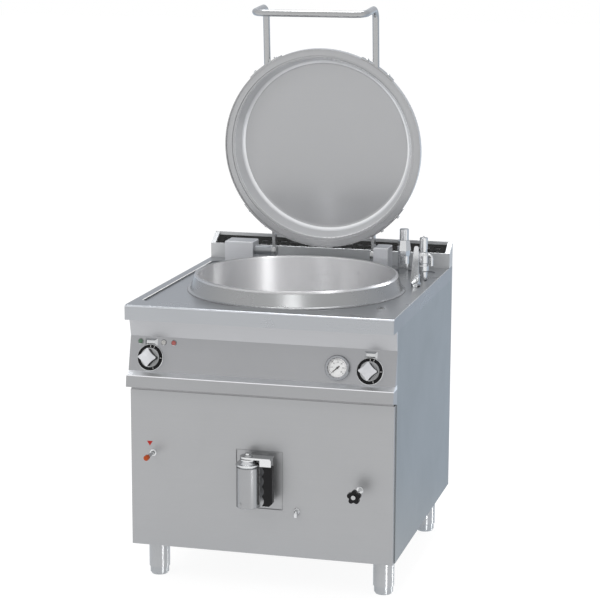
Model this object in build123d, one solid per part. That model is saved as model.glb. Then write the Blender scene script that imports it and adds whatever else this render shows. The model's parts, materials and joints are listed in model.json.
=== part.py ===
from build123d import *
import math
import os

# Jacketed boiling kettle, cabinet type, with its lid raised.
# X runs left to right, Y from front to back, Z up; the floor is z = 0.
# Every piece is drawn in the cabinet frame (y = 0 halfway through the cabinet's depth)
# and moved at the end, so that the origin lies below the middle of the whole outline.

# ---------------------------------------------------------------- cabinet
width = 800.0               # cabinet width
depth = 900.0               # front nose to rear face
worktop_z = 855.0           # working height
skirt_h = 44.0              # height of the worktop's nose and side skirts
top_sheet = 2.0             # worktop sheet
panel_sheet = 1.2           # side, back and door sheet
fold_sheet = 1.5            # control fascia and trim sheet
body_bottom_z = 122.0       # underside of the cabinet
side_front_y = -395.0       # front edge of the side panels
side_return = 8.0           # inward folds of the side panels
nose_radius = 7.0           # rounding of the worktop's front edge
basin_depth = 4.0           # pressed recess in the worktop
basin_inset = 27.0          # basin's sides in from the cabinet's
basin_front_y = -385.0
basin_back_y = 336.0
basin_corner = 30.0
basin_drain_inset = 77.0
basin_drain_y = -279.0
basin_drain_r = 9.0
spill_wall = 2.0            # wall, bend and turning heights of the drain's pipe
spill_bend = 30.0
spill_top_z = 330.0
spill_low_z = 230.0

# rear upstand and flue grille
upstand_depth = 53.0
upstand_lip_h = 47.0        # front wall above the worktop
upstand_h = 78.0            # rear wall above the worktop
upstand_end = 15.0          # closed strip at each end of the slot
grille_drop = 9.0           # grille below the sloping mouth
grille_sheet = 2.0
grille_slot_pitch = 32.0
grille_slot_w = 22.0
grille_slot_h = 9.0

# door
door_front_y = -415.0
door_top_z = 595.8
door_side_gap = 3.0
door_return = 20.0

# control fascia (slopes back towards the top) and the trim below it
fascia_top_y = -411.0
fascia_bend_y = -397.0
fascia_bend_z = 754.5
fascia_foot_y = -422.5
fascia_foot_z = 655.0
trim_shelf_y = -443.0
trim_shelf_z = 645.0
trim_foot_y = -448.0
trim_foot_z = 610.0
trim_back_z = 597.0

# welded frame
angle_size = 30.0
angle_sheet = 3.0
base_ring_h = 35.0
base_flange = 40.0
cross_rail_w = 90.0
front_rail_down = 15.8      # front rail below and above the door's top
front_rail_up = 34.2

# legs
leg_inset = 51.5            # leg centres in from the cabinet's sides
leg_front_y = -308.0
leg_rear_y = 322.0
leg_r = 31.5
leg_wall = 1.5
leg_tube_bottom_z = 25.0
leg_plate = 78.0
leg_plate_t = 4.0
foot_r = 28.5
foot_h = 34.0
foot_stem_r = 8.0
foot_stem_top_z = 92.0
foot_nut_z = 62.0
foot_nut_t = 12.0
run_clear = 0.05            # running clearance on the radius
fit_gap = 0.3               # gap between seated curved faces
seat_gap = 0.3              # gap under a moving piece at rest

# ---------------------------------------------------------------- kettle
pan_x = 10.5
pan_y = -50.0
pan_r = 300.0               # inside radius
pan_depth = 420.0
pan_sheet = 3.0
pan_dish = 12.0             # fall of the bottom to the middle
pan_corner = 60.0
rim_z = 900.5
rim_w = 10.0
rim_lip = 7.5
rim_fold = 4.0
collar_sheet = 2.0
collar_base_r = 323.0
collar_flange = 8.0
pan_hole_clear = 8.0        # worktop hole inside the collar's foot
jacket_r = 325.0
jacket_top_z = 800.0
jacket_gap = 80.0           # steam space below the pan
jacket_corner = 50.0
insulation_t = 12.0
sump_r = 36.0
sump_depth = 8.0
strainer_r = 34.0
strainer_h = 14.0
strainer_sheet = 2.0
strainer_hole_r = 2.6
drain_y = -250.0
pipe_r = 24.0
pipe_wall = 2.0
pipe_bend = 40.0
level_marks = 4
level_mark_w = 46.0
level_mark_top = 60.0       # rim to the first mark
level_mark_pitch = 25.0
level_mark_depth = 0.6

# heating
element_r = 3.25
element_count = 3
element_pitch = 8.0         # between the legs of nested hairpins
element_inner = 6.0         # half width of the innermost hairpin
element_len = 400.0
element_z_gap = 34.0        # above the jacket's bottom
stub_r = 31.0               # stub on the jacket that carries the elements
stub_wall = 3.0
stub_in = 40.0              # stub inside and outside the jacket's wall
stub_out = 22.0
element_flange_r = 45.0
element_flange_t = 8.0
element_cover_r = 36.0
element_cover_h = 40.0

# ---------------------------------------------------------------- lid
hinge_y = 289.0
hinge_z = 904.5
lid_open = 85.5             # degrees from closed
lid_r = 317.0
lid_sheet = 1.5
lid_rim_z = 896.5           # underside of the rim when closed
lid_skirt = 25.0
lid_rim_w = 21.0
lid_recess = 57.0           # rim to the flat of the liner
lid_disc_r = 271.0
lid_seat = 0.5              # liner's ring above the pan's rim when closed
lid_ring_w = 8.0            # second, raised ring of the liner
lid_ring_h = 4.0
lid_hem = 3.0               # thick edge of the skirt
lid_top_r = 284.0           # shell's shoulder
lid_core = 3.0              # between liner and shell at the top
arm_offset = 163.0          # arm centres from the pan's middle
arm_t = 10.0
arm_eye_r = 19.0
arm_plate_t = 3.0
arm_plate_from = 36.0       # degrees round the skirt, from the side towards the hinge
arm_plate_to = 62.0
arm_bolt_angles = (41.0, 53.5)
bolt_head_r = 5.5
bolt_head_h = 5.0
pivot_tube_r = 14.5
pivot_pin_r = 9.0
handle_r = 10.5
handle_half = 175.0         # post centres from the pan's middle
handle_reach = 180.0        # posts beyond the skirt, closed lid
handle_drop = 150.0         # grip bar below the posts, closed lid
handle_bend = 34.0
handle_plate_from = 44.0    # degrees from the side towards the front
handle_plate_to = 66.0
handle_bolt_angles = (48.0, 62.5)

# hinge housings on the worktop
box_sheet = 1.5
box_front_y = 262.0
box_back_y = 332.0
box_top_z = 935.0
box_left_w = 93.0
box_right_w = 47.0
box_gap = 0.8               # arm to housing
box_left_x = -218.0         # right face of the left housing
block_w = 18.0
block_half = 16.0
box_fillet = 5.0
spring_turns = 4
spring_wire_r = 2.5
spring_pitch = 9.0
spring_clear = 1.5

# ---------------------------------------------------------------- drain tap
tap_x = -25.0
tap_y = -455.0
tap_inlet_z = 350.0
barrel_r = 35.5
barrel_bottom_z = 279.0
barrel_top_z = 399.0
barrel_bore_r = 22.0
plug_r = 24.0
plug_bottom_z = 322.0
plug_top_z = 392.0
port_r = 18.0
bonnet_h = 24.0
stem_r = 8.0
lever_z = 425.5
lever_t = 5.5
lever_r = 24.0
lever_reach = 72.0
lever_tab_w = 34.0
lever_tab_h = 22.0
grip_w = 30.0
grip_t = 20.0
grip_bottom_z = 285.0
grip_scallops = 4
cutout_w = 140.0
cutout_h = 175.0
cutout_x = -3.0
cutout_z = 349.5
cutout_corner = 7.0
recess_plate_t = 1.5
recess_gap = 1.0

# ---------------------------------------------------------------- door fittings
star_inset = 102.0          # in from the right side
star_z = 341.0
star_stem = 63.0            # door to the back of the star knob
star_r = 20.5
star_lobes = 5
star_t = 20.0
valve_stem_r = 4.0
valve_body_r = 15.0
valve_body_len = 40.0
valve_stem_in = 34.0        # spindle behind the door's face
valve_pipe_in = 30.0        # pipe's plane behind the door's sheet
valve_pipe_bend = 15.0
nozzle_x = 110.0
nozzle_z = 263.0
nozzle_r = 5.5             # pipe of the level outlet and its short downward elbow
nozzle_wall = 1.5
nozzle_out = 13.0
nozzle_drop = 15.0
nozzle_bend = 6.5
stalk_inset = 71.0          # in from the left side
stalk_z = 407.0
stalk_r = 5.0
stalk_len = 52.0
stalk_tip_r = 8.0
stalk_tip_h = 16.0
stalk_travel = 6.0
thermostat_w = 48.0
thermostat_h = 60.0
thermostat_d = 40.0

# ---------------------------------------------------------------- control fascia fittings
knob_left_inset = 65.0      # in from the left and the right side
knob_right_inset = 76.0
knob_z = 694.0
bezel_r = 40.0
bezel_h = 4.0
bezel_floor = 1.0
dial_r = 37.7
dial_h = 5.0
dial_gap = 0.5
grip_half = 30.0            # middle to corner of the knob's grip
grip_hollow = 4.0           # depth of the hollow in each side of the grip
grip_corner = 4.0
knob_h = 27.0
cap_h = 2.5
shaft_r = 3.0
index_w = 38.0
index_h = 22.0
index_y = 35.0              # dial's middle to the lug's foot
index_t = 6.0
index_taper = 48.0
switch_w = 46.0
switch_h = 20.0
switch_end = 4.0            # closed rear of the switch
lamp_insets = (32.0, 103.0, 134.0)   # green, white and red, in from the left side
lamp_z = 739.0
lamp_r = 6.75
lamp_body_r = 9.0
lamp_body_h = 6.0
gauge_inset = 171.0         # in from the right side
gauge_z = 698.0
gauge_r = 30.0              # case behind the fascia
gauge_wall = 2.0
gauge_case_h = 30.0
gauge_ring_r = 36.5
gauge_ring_h = 10.0
gauge_face_r = 28.0
gauge_face_z = 2.5          # dial's face above the fascia
gauge_lens_z = 7.0
gauge_lens_t = 1.5
needle_len = 22.0
needle_tail = 8.0
needle_z = 1.0              # above the dial's face
gauge_start = 222.0         # direction of the needle at rest, degrees

# ---------------------------------------------------------------- safety group on the worktop
safety_x = 271.5
safety_y = 297.0
safety_block = 33.0
safety_stem_r = 8.0
safety_h = 107.0            # body's height on the basin's floor
safety_cap_r = 14.5
safety_cap_h = 35.7
vent_x = 356.5
vent_y = 186.0
vent_stem_r = 5.0
vent_h = 98.7               # body's height on the basin's floor
vent_cap_r = 12.5
vent_cap_h = 37.0
vent_elbow_out = 25.0
vent_elbow_drop = 32.0
cock_x = 355.0
cock_y = 78.0
cock_hex_r = 15.0           # hexagon foot and round body of the filling cock
cock_hex_h = 14.0
cock_body_r = 12.0
cock_h = 42.0
cock_mouth_r = 8.0
cock_mouth_d = 8.0
cock_stem_up = 24.2         # stem above the basin's floor
cock_stem_r = 4.0
cock_boss_r = 8.5
cock_lever_y = 58.0         # front face of the lever
cock_lever_t = 3.0
cock_lever_w = 26.0         # width at the stem and at the rounded tip
cock_lever_tip_w = 13.0
cock_lever_len = 105.0
cock_lever_lean = 4.0       # tip to the right of the stem
steam_pipe_r = 8.0
steam_pipe_bend = 30.0
steam_pipe_z = 700.0        # height at which the pipes turn to the jacket
tail_hole_clear = 1.0

# inside the cabinet
gland_inset = 150.0
gland_y = 389.0
gland_r = 13.0
air_slot_w = 8.0            # air slots of the back panel and of the floor
back_slot_len = 120.0
back_slot_x = 200.0
back_slot_pitch = 26.0
back_slot_low = 90.0        # lowest slot above the panel's bottom
tray_slot_len = 90.0
tray_slot_x = 130.0
tray_slot_pitch = 40.0
cabin_w = 80.0              # control box on the left side panel
cabin_front_y = -360.0
cabin_back_y = -235.0
cabin_bottom_z = 430.0
cabin_top_z = 640.0
cabin_sheet = 1.5

# ---------------------------------------------------------------- derived places
half_w = width / 2
basin_half_w = half_w - basin_inset
basin_drain_x = half_w - basin_drain_inset
leg_x = half_w - leg_inset
star_x = half_w - star_inset
stalk_x = -half_w + stalk_inset
knob_left_x = -half_w + knob_left_inset
knob_right_x = half_w - knob_right_inset
lamp_x = [-half_w + inset for inset in lamp_insets]
gauge_x = half_w - gauge_inset
gland_x = half_w - gland_inset
front_y = -depth / 2
back_y = depth / 2
skirt_z = worktop_z - skirt_h
floor_z = worktop_z - basin_depth           # top face of the basin's floor
under_z = floor_z - top_sheet               # its underside
upstand_y = back_y - upstand_depth
inner_x = half_w - panel_sheet
frame_x = half_w - top_sheet
safety_top_z = floor_z + safety_h
vent_top_z = floor_z + vent_h
cock_stem_z = floor_z + cock_stem_up
inner_back_y = back_y - panel_sheet
frame_front_y = side_front_y + panel_sheet
frame_bottom_z = body_bottom_z + panel_sheet
tray_z = frame_bottom_z + angle_sheet
pan_bottom_z = rim_z - pan_depth
pan_outer_r = pan_r + pan_sheet
jacket_bottom_z = pan_bottom_z - jacket_gap
jacket_outer_r = jacket_r + pan_sheet
sump_z = pan_bottom_z - pan_dish - sump_depth / 2
collar_top_r = pan_r + rim_w
hole_r = collar_base_r - pan_hole_clear
liner_z = lid_rim_z + lid_recess
arm_left_x = pan_x - arm_offset
arm_right_x = pan_x + arm_offset
box_right_x = arm_right_x + arm_t / 2 + box_gap
element_z = jacket_bottom_z + element_z_gap
element_y = pan_y + jacket_outer_r + stub_out
tap_inlet_y = door_front_y + panel_sheet + recess_gap + recess_plate_t + 25.0
barrel_neck_z = barrel_top_z + bonnet_h
star_front_y = door_front_y - star_stem - star_t
origin_y = (back_y + star_front_y) / 2
hinge_axis = Axis((0, hinge_y, hinge_z), (1, 0, 0))
fascia_run = Vector(0, fascia_bend_y - fascia_foot_y, fascia_bend_z - fascia_foot_z).normalized()
fascia_out = Vector(0, -fascia_run.Z, fascia_run.Y)
fascia_holes = [(x, knob_z, shaft_r + 1) for x in (knob_left_x, knob_right_x)]
fascia_holes += [(x, lamp_z, lamp_r + fit_gap) for x in lamp_x]
fascia_holes += [(gauge_x, gauge_z, gauge_r + fit_gap)]
door_holes = [(star_x, star_z, valve_stem_r + 1), (nozzle_x, nozzle_z, nozzle_r + fit_gap),
              (stalk_x, stalk_z, stalk_r + 1)]
fitting_places = ((safety_x, safety_y), (vent_x, vent_y), (cock_x, cock_y))
fitting_holes = [(x, y, steam_pipe_r + tail_hole_clear) for x, y in fitting_places]


# ---------------------------------------------------------------- helpers
def block(x0, x1, y0, y1, z0, z1):
    """Box between two corners."""
    size = (x1 - x0, y1 - y0, z1 - z0)
    middle = ((x0 + x1) / 2, (y0 + y1) / 2, (z0 + z1) / 2)
    return Pos(*middle) * Box(*size)


def rod(x, y, z0, z1, r):
    """Upright cylinder."""
    return Pos(x, y, (z0 + z1) / 2) * Cylinder(r, z1 - z0)


def rod_y(x, z, y0, y1, r):
    """Cylinder along Y."""
    return Pos(x, (y0 + y1) / 2, z) * Rot(90, 0, 0) * Cylinder(r, y1 - y0)


def rod_x(y, z, x0, x1, r):
    """Cylinder along X."""
    return Pos((x0 + x1) / 2, y, z) * Rot(0, 90, 0) * Cylinder(r, x1 - x0)


def hex_rod(x, y, z0, z1, r):
    """Upright hexagon bar, r to its corners."""
    return extrude(Pos(x, y, z0) * RegularPolygon(r, 6), z1 - z0)


def spun(points, x, y):
    """Solid of revolution about the upright axis through (x, y); points are (radius, z)."""
    face = make_face(Plane.XZ * Polyline(*points, close=True))
    return Pos(x, y, 0) * revolve(face, Axis.Z)


def sheet_face(plane, points, radii, thickness, side):
    """Folded sheet's section: one surface along the points, thickness laid to one side."""
    path = FilletPolyline(*points, radius=radii)
    return make_face(plane * offset(path, thickness, side=side, closed=True))


def pressed(points, radii, thickness, side):
    """Sheet pressing spun about the pan's axis; points are (radius, z) along one surface."""
    path = list(points)
    r0, z0 = path[-2]
    r1, z1 = path[-1]
    if r1 == 0:
        path[-1] = (-thickness, z1 - thickness * (z0 - z1) / (r0 - r1))
    face = sheet_face(Plane.XZ, path, radii, thickness, side)
    reach = 4 * lid_r
    face &= Plane.XZ * Pos(reach / 2, rim_z) * Rectangle(reach, 2 * reach)
    return Pos(pan_x, pan_y, 0) * revolve(face, Axis.Z)


def pipe(points, bend, r, wall):
    """Bent round pipe; wall 0 makes it solid."""
    path = FilletPolyline(*points, radius=bend)
    start = Plane(path @ 0, z_dir=path % 0)
    outer = sweep(start * Circle(r), path)
    if wall == 0:
        return outer
    return outer - sweep(start * Circle(r - wall), path)


def on_fascia(x, z):
    """Plane on the sloping fascia at height z: local X to the right, Y up the slope, Z outwards."""
    y = fascia_foot_y + (z - fascia_foot_z) * fascia_run.Y / fascia_run.Z
    return Plane(origin=(x, y, z), x_dir=(1, 0, 0), z_dir=fascia_out)


def raised(piece):
    """Lid piece drawn closed, swung up to the open rest position."""
    return piece.rotate(hinge_axis, -lid_open)


def skirt_point(side, angle, r):
    """Point at radius r on the closed lid; angle from the side, positive towards the hinge."""
    a = math.radians(angle)
    return pan_x + side * r * math.cos(a), pan_y + r * math.sin(a)


# ---------------------------------------------------------------- cabinet
def make_worktop():
    """Sheet top with rounded nose, side skirts, pressed basin and the kettle's hole."""
    body = block(-half_w, half_w, front_y, back_y, skirt_z, worktop_z)
    nose = body.edges().filter_by(Axis.X).filter_by(lambda e: e.center().Y < front_y + 1)
    body = fillet(nose.sort_by(Axis.Z)[-1], nose_radius)
    inner_top = worktop_z - top_sheet
    below = block(-frame_x, frame_x, front_y + top_sheet, back_y + 1, skirt_z + top_sheet, inner_top)
    edge = below.edges().filter_by(Axis.X).filter_by(lambda e: e.center().Y < front_y + 10)
    body -= fillet(edge.sort_by(Axis.Z)[-1], nose_radius - top_sheet)
    body -= block(-frame_x, frame_x, fascia_top_y, back_y + 1, skirt_z - 1, inner_top)
    middle_y = (basin_front_y + basin_back_y) / 2
    length = basin_back_y - basin_front_y
    basin = RectangleRounded(2 * basin_half_w, length, basin_corner)
    recess = RectangleRounded(2 * (basin_half_w - top_sheet), length - 2 * top_sheet,
                              basin_corner - top_sheet)
    body += Pos(0, middle_y, under_z) * extrude(basin, basin_depth)
    body -= Pos(0, middle_y, floor_z) * extrude(recess, basin_depth + 1)
    body -= rod(pan_x, pan_y, under_z - 1, worktop_z + 1, hole_r)
    body -= rod(basin_drain_x, basin_drain_y, under_z - 1, worktop_z, basin_drain_r + fit_gap)
    for x, y, r in fitting_holes:
        body -= rod(x, y, under_z - 1, worktop_z, r)
    return body


def make_basin_drain():
    """Flanged spill drain in the basin and its pipe down through the floor."""
    r = basin_drain_r
    wall = spill_wall
    flange = [(r - wall, floor_z - 3), (r, floor_z - 3), (r, floor_z), (r + 3, floor_z),
              (r + 3, floor_z + 0.6), (r - wall, floor_z + 1.2)]
    offset_y = basin_drain_y + cross_rail_w
    path = [(basin_drain_x, basin_drain_y, floor_z - 3), (basin_drain_x, basin_drain_y, spill_top_z),
            (basin_drain_x, offset_y, spill_low_z), (basin_drain_x, offset_y, body_bottom_z - 20)]
    return spun(flange, basin_drain_x, basin_drain_y) + pipe(path, spill_bend, r, wall)


def make_side_panel(side):
    """Side sheet with folds along its front, back and bottom."""
    outer = block(0, side_return, side_front_y, back_y, body_bottom_z, skirt_z)
    inner = block(-1, side_return - panel_sheet, frame_front_y, inner_back_y,
                  frame_bottom_z, skirt_z + 1)
    panel = Pos(half_w - side_return, 0, 0) * (outer - inner)
    return panel if side > 0 else mirror(panel, Plane.YZ)


def make_back_panel():
    """Rear sheet with two columns of air slots."""
    reach = inner_x - side_return
    panel = block(-reach, reach, inner_back_y, back_y, body_bottom_z, worktop_z - top_sheet)
    slot = Rot(90, 0, 0) * SlotOverall(back_slot_len, air_slot_w)
    low_z = body_bottom_z + back_slot_low
    slots = [extrude(Pos(x, back_y + 1, low_z + back_slot_pitch * row) * slot, 6, both=True)
             for x in (-back_slot_x, back_slot_x) for row in range(6)]
    return panel - slots


def make_door():
    """Front sheet with side, top and bottom folds and its openings."""
    reach = half_w - door_side_gap
    outer = block(-reach, reach, door_front_y, door_front_y + door_return, body_bottom_z, door_top_z)
    inner = block(-reach + panel_sheet, reach - panel_sheet, door_front_y + panel_sheet,
                  door_front_y + door_return + 1, frame_bottom_z, door_top_z - panel_sheet)
    door = outer - inner
    window = Rot(90, 0, 0) * RectangleRounded(cutout_w, cutout_h, cutout_corner)
    door -= extrude(Pos(cutout_x, door_front_y, cutout_z) * window, 5, both=True)
    for x, z, r in door_holes:
        door -= rod_y(x, z, door_front_y - 5, door_front_y + 5, r)
    return door


def make_recess_plate():
    """Plate behind the tap's window, with a hole for the tap's neck."""
    y0 = door_front_y + panel_sheet + recess_gap
    margin = 14.0
    half = cutout_w / 2 + margin
    plate = block(cutout_x - half, cutout_x + half, y0, y0 + recess_plate_t,
                  cutout_z - cutout_h / 2 - margin, cutout_z + cutout_h / 2 + margin)
    plate -= rod_y(tap_x, tap_inlet_z, y0 - 1, y0 + 3, pipe_r + fit_gap)
    strip_z = cutout_z + cutout_h / 2 + margin
    for x in (cutout_x - half + 8, cutout_x + half - 8):
        plate += block(x - 8, x + 8, door_front_y + panel_sheet, y0 + recess_plate_t,
                       strip_z - 10, strip_z)
    return plate


def make_control_fascia():
    """Sloping control sheet with end plates and holes for its fittings."""
    points = [(side_front_y, skirt_z), (fascia_top_y, skirt_z), (fascia_bend_y, fascia_bend_z),
              (fascia_foot_y, fascia_foot_z), (side_front_y, fascia_foot_z)]
    solid = extrude(Plane.YZ * make_face(Polyline(*points, close=True)), half_w, both=True)
    hollow_points = [(side_front_y + 5, skirt_z - fold_sheet),
                     (fascia_top_y + fold_sheet, skirt_z - fold_sheet),
                     (fascia_bend_y + fold_sheet, fascia_bend_z),
                     (fascia_foot_y + fold_sheet, fascia_foot_z + fold_sheet),
                     (side_front_y + 5, fascia_foot_z + fold_sheet)]
    hollow = extrude(Plane.YZ * make_face(Polyline(*hollow_points, close=True)),
                     half_w - fold_sheet, both=True)
    sheet = solid - hollow
    for x, z, r in fascia_holes:
        sheet -= on_fascia(x, z) * Cylinder(r, 20)
    return sheet


def make_trim_rail():
    """Trim below the fascia: shelf, upright face and sloping underside, with end plates."""
    points = [(side_front_y, fascia_foot_z), (fascia_foot_y, fascia_foot_z),
              (trim_shelf_y, trim_shelf_z), (trim_foot_y, trim_foot_z),
              (side_front_y, trim_back_z)]
    t = fold_sheet
    hollow_points = [(side_front_y + 5, fascia_foot_z - t), (fascia_foot_y, fascia_foot_z - t),
                     (trim_shelf_y + t, trim_shelf_z - t), (trim_foot_y + t, trim_foot_z + t),
                     (side_front_y + 5, trim_back_z + t)]
    solid = extrude(Plane.YZ * make_face(Polyline(*points, close=True)), half_w, both=True)
    hollow = extrude(Plane.YZ * make_face(Polyline(*hollow_points, close=True)),
                     half_w - t, both=True)
    return solid - hollow


def make_upstand():
    """Rear flue box: low front wall, high rear wall and a sloping mouth."""
    lip_z = worktop_z + upstand_lip_h
    top_z = worktop_z + upstand_h
    points = [(upstand_y, worktop_z), (upstand_y, lip_z), (back_y, top_z), (back_y, worktop_z)]
    solid = extrude(Plane.YZ * make_face(Polyline(*points, close=True)), half_w, both=True)
    t = fold_sheet
    return solid - block(-half_w + upstand_end, half_w - upstand_end, upstand_y + t, back_y - t,
                         worktop_z + t, top_z + 1)


def make_grille():
    """Dark slotted grille that lies across the flue box below its mouth."""
    t = fold_sheet
    slope = math.atan2(upstand_h - upstand_lip_h, upstand_depth)
    y0 = upstand_y + t
    y1 = back_y - t
    z0 = worktop_z + upstand_lip_h - grille_drop
    z1 = z0 + (y1 - y0) * math.tan(slope)
    points = [(y0, z0), (y1, z1), (y1, z1 - grille_sheet), (y0, z0 - grille_sheet)]
    reach = half_w - upstand_end
    grille = extrude(Plane.YZ * make_face(Polyline(*points, close=True)), reach, both=True)
    middle = Plane(origin=(0, (y0 + y1) / 2, (z0 + z1) / 2), x_dir=(1, 0, 0),
                   z_dir=(0, -math.sin(slope), math.cos(slope)))
    slot_x = []
    half_slots = int((reach - 20) / grille_slot_pitch)
    for i in range(-half_slots, half_slots + 1):
        slot_x.append(i * grille_slot_pitch)
    spots = [(x, y) for x in slot_x for y in (-grille_slot_h, grille_slot_h)]
    cuts = [middle * Pos(x, y, 0) * Box(grille_slot_w, grille_slot_h, 12) for x, y in spots]
    return grille - cuts


def l_ring(z0, height, flange, flange_up):
    """Rectangular ring of folded angle, inside the cabinet's sheets."""
    x = frame_x
    y0 = frame_front_y
    y1 = inner_back_y
    t = angle_sheet
    wall = block(-x, x, y0, y1, z0, z0 + height) - block(-x + t, x - t, y0 + t, y1 - t,
                                                         z0 - 1, z0 + height + 1)
    zf = z0 + height - t if flange_up else z0
    lip = block(-x, x, y0, y1, zf, zf + t) - block(-x + flange, x - flange, y0 + flange,
                                                   y1 - flange, zf - 1, zf + t + 1)
    return wall + lip


def make_base_frame():
    """Bottom ring of angle with rails over the legs, and the rail behind the trim."""
    frame = l_ring(frame_bottom_z, base_ring_h, base_flange, False)
    for y in (leg_front_y, leg_rear_y):
        frame += block(-frame_x, frame_x, y - cross_rail_w / 2, y + cross_rail_w / 2,
                       frame_bottom_z, tray_z)
    return frame + block(-frame_x, frame_x, frame_front_y, frame_front_y + angle_sheet,
                         door_top_z - front_rail_down, door_top_z + front_rail_up)


def make_upper_frame():
    """Top ring of angle on four corner posts."""
    top = under_z
    frame = l_ring(top - angle_size, angle_size, angle_size, True)
    post_z0 = frame_bottom_z + base_ring_h
    t = angle_sheet
    for sx in (-1, 1):
        for y0, sy in ((frame_front_y, 1), (inner_back_y, -1)):
            x0 = sx * frame_x
            a = Pos(x0 - sx * angle_size / 2, y0 + sy * t / 2, (post_z0 + top) / 2)
            b = Pos(x0 - sx * t / 2, y0 + sy * angle_size / 2, (post_z0 + top) / 2)
            frame += a * Box(angle_size, t, top - post_z0)
            frame += b * Box(t, angle_size, top - post_z0)
    return frame


def make_base_tray():
    """Sheet floor on the bottom ring, with air slots and the cable hole."""
    margin = angle_sheet
    x = frame_x - margin
    tray = block(-x, x, frame_front_y + margin, inner_back_y - margin, tray_z, tray_z + panel_sheet)
    slot = SlotOverall(tray_slot_len, air_slot_w)
    slots = [extrude(Pos(x, tray_slot_pitch * (row - 4.5), tray_z) * slot, 5, both=True)
             for x in (-tray_slot_x, tray_slot_x) for row in range(10)]
    tray -= slots
    drain_back_y = basin_drain_y + cross_rail_w
    tray -= rod(basin_drain_x, drain_back_y, tray_z - 5, tray_z + 5, basin_drain_r + fit_gap)
    return tray - rod(gland_x, gland_y, tray_z - 5, tray_z + 5, gland_r + fit_gap)


def leg_places():
    """Names and middles of the four legs."""
    return [("front_left", -leg_x, leg_front_y), ("front_right", leg_x, leg_front_y),
            ("rear_left", -leg_x, leg_rear_y), ("rear_right", leg_x, leg_rear_y)]


def make_leg(x, y):
    """Leg: top plate, tube and the nut disc that carries the foot's stem."""
    top = frame_bottom_z
    tube = rod(x, y, leg_tube_bottom_z, top - leg_plate_t, leg_r)
    tube -= rod(x, y, leg_tube_bottom_z - 1, top - leg_plate_t, leg_r - leg_wall)
    nut = rod(x, y, foot_nut_z, foot_nut_z + foot_nut_t, leg_r - leg_wall)
    half = leg_plate / 2
    plate = block(x - half, x + half, y - half, y + half, top - leg_plate_t, top)
    return tube + nut + plate - rod(x, y, foot_nut_z - 1, foot_nut_z + foot_nut_t + 1,
                                    foot_stem_r + run_clear)


def make_foot(x, y):
    """Screw foot: turned cup with a chamfered sole and its stem."""
    points = [(0, 0), (foot_r - 4, 0), (foot_r - 2.5, 3), (foot_r, 6), (foot_r, foot_h - 2),
              (foot_r - 2, foot_h), (foot_stem_r, foot_h), (foot_stem_r, foot_stem_top_z),
              (0, foot_stem_top_z)]
    return spun(points, x, y)


def make_cable_gland():
    """Gland through the floor for the supply cable."""
    body = hex_rod(gland_x, gland_y, tray_z - 16, tray_z, gland_r + 5)
    body += rod(gland_x, gland_y, tray_z - 24, tray_z + 14, gland_r)
    body += hex_rod(gland_x, gland_y, tray_z + panel_sheet, tray_z + panel_sheet + 7, gland_r + 5)
    return body - rod(gland_x, gland_y, tray_z - 30, tray_z + 30, gland_r - 5)


# ---------------------------------------------------------------- kettle
def make_pan():
    """Pressed pan: rolled rim, straight wall, rounded corner, dished bottom and sump."""
    points = [(collar_top_r, rim_z - rim_lip), (collar_top_r, rim_z), (pan_r, rim_z),
              (pan_r, pan_bottom_z), (0, pan_bottom_z - pan_dish)]
    pan = pressed(points, [rim_fold, rim_fold, pan_corner], pan_sheet, Side.LEFT)
    pan += rod(tap_x, drain_y, sump_z - pan_sheet, pan_bottom_z - pan_sheet, sump_r + pan_sheet)
    pan -= rod(tap_x, drain_y, sump_z, pan_bottom_z + 10, sump_r)
    pan -= rod(tap_x, drain_y, sump_z - 10, sump_z + 1, pipe_r - pipe_wall)
    for i in range(level_marks):
        z = rim_z - level_mark_top - level_mark_pitch * i
        pan -= block(pan_x - level_mark_w / 2, pan_x + level_mark_w / 2, pan_y + pan_r - 10,
                     pan_y + pan_r + level_mark_depth, z, z + 2)
    return pan


def make_collar():
    """Conical ring between the worktop and the pan's rim."""
    top_z = rim_z - rim_lip - fit_gap
    points = [(collar_top_r, top_z), (collar_base_r, floor_z + 5),
              (collar_base_r + collar_flange, floor_z + collar_sheet)]
    face = sheet_face(Plane.XZ, points, 4.0, collar_sheet, Side.RIGHT)
    ring = Pos(pan_x, pan_y, 0) * revolve(face, Axis.Z)
    return ring - block(-half_w, half_w, front_y, back_y, floor_z - 20, floor_z)


def make_jacket():
    """Outer vessel of the steam space, with the stub for the heating elements."""
    points = [(pan_outer_r + fit_gap, jacket_top_z), (jacket_outer_r, jacket_top_z),
              (jacket_outer_r, jacket_bottom_z), (0, jacket_bottom_z - pan_dish)]
    shell = pressed(points, [6.0, jacket_corner], pan_sheet, Side.RIGHT)
    shell -= rod(tap_x, drain_y, jacket_bottom_z - 40, jacket_bottom_z + 20, pipe_r + fit_gap)
    inner_end = element_y - stub_out - stub_in
    shell += rod_y(pan_x, element_z, inner_end, element_y, stub_r)
    return shell - rod_y(pan_x, element_z, inner_end - 60, element_y + 1, stub_r - stub_wall)


def make_insulation():
    """Blanket round the jacket, cut clear of the element stub and the steam pipes."""
    r0 = jacket_outer_r + fit_gap
    r1 = r0 + insulation_t
    z0 = jacket_bottom_z + jacket_corner
    z1 = jacket_top_z - 8
    blanket = spun([(r0, z0), (r1, z0), (r1, z1), (r0, z1)], pan_x, pan_y)
    blanket -= rod_y(pan_x, element_z, pan_y + pan_r, back_y, element_flange_r + 10)
    for x, y in fitting_places:
        blanket -= steam_pipe_body(x, y, steam_pipe_r + 3, 0)
    return blanket


def make_elements():
    """Nested hairpin heating elements, side by side in the stub."""
    pins = []
    for i in range(element_count):
        half = element_inner + element_pitch * i
        y1 = element_y - element_len - half
        points = [(pan_x - half, element_y, element_z), (pan_x - half, y1, element_z),
                  (pan_x + half, y1, element_z), (pan_x + half, element_y, element_z)]
        pins.append(pipe(points, half - 0.2, element_r, 0))
    return pins


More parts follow.
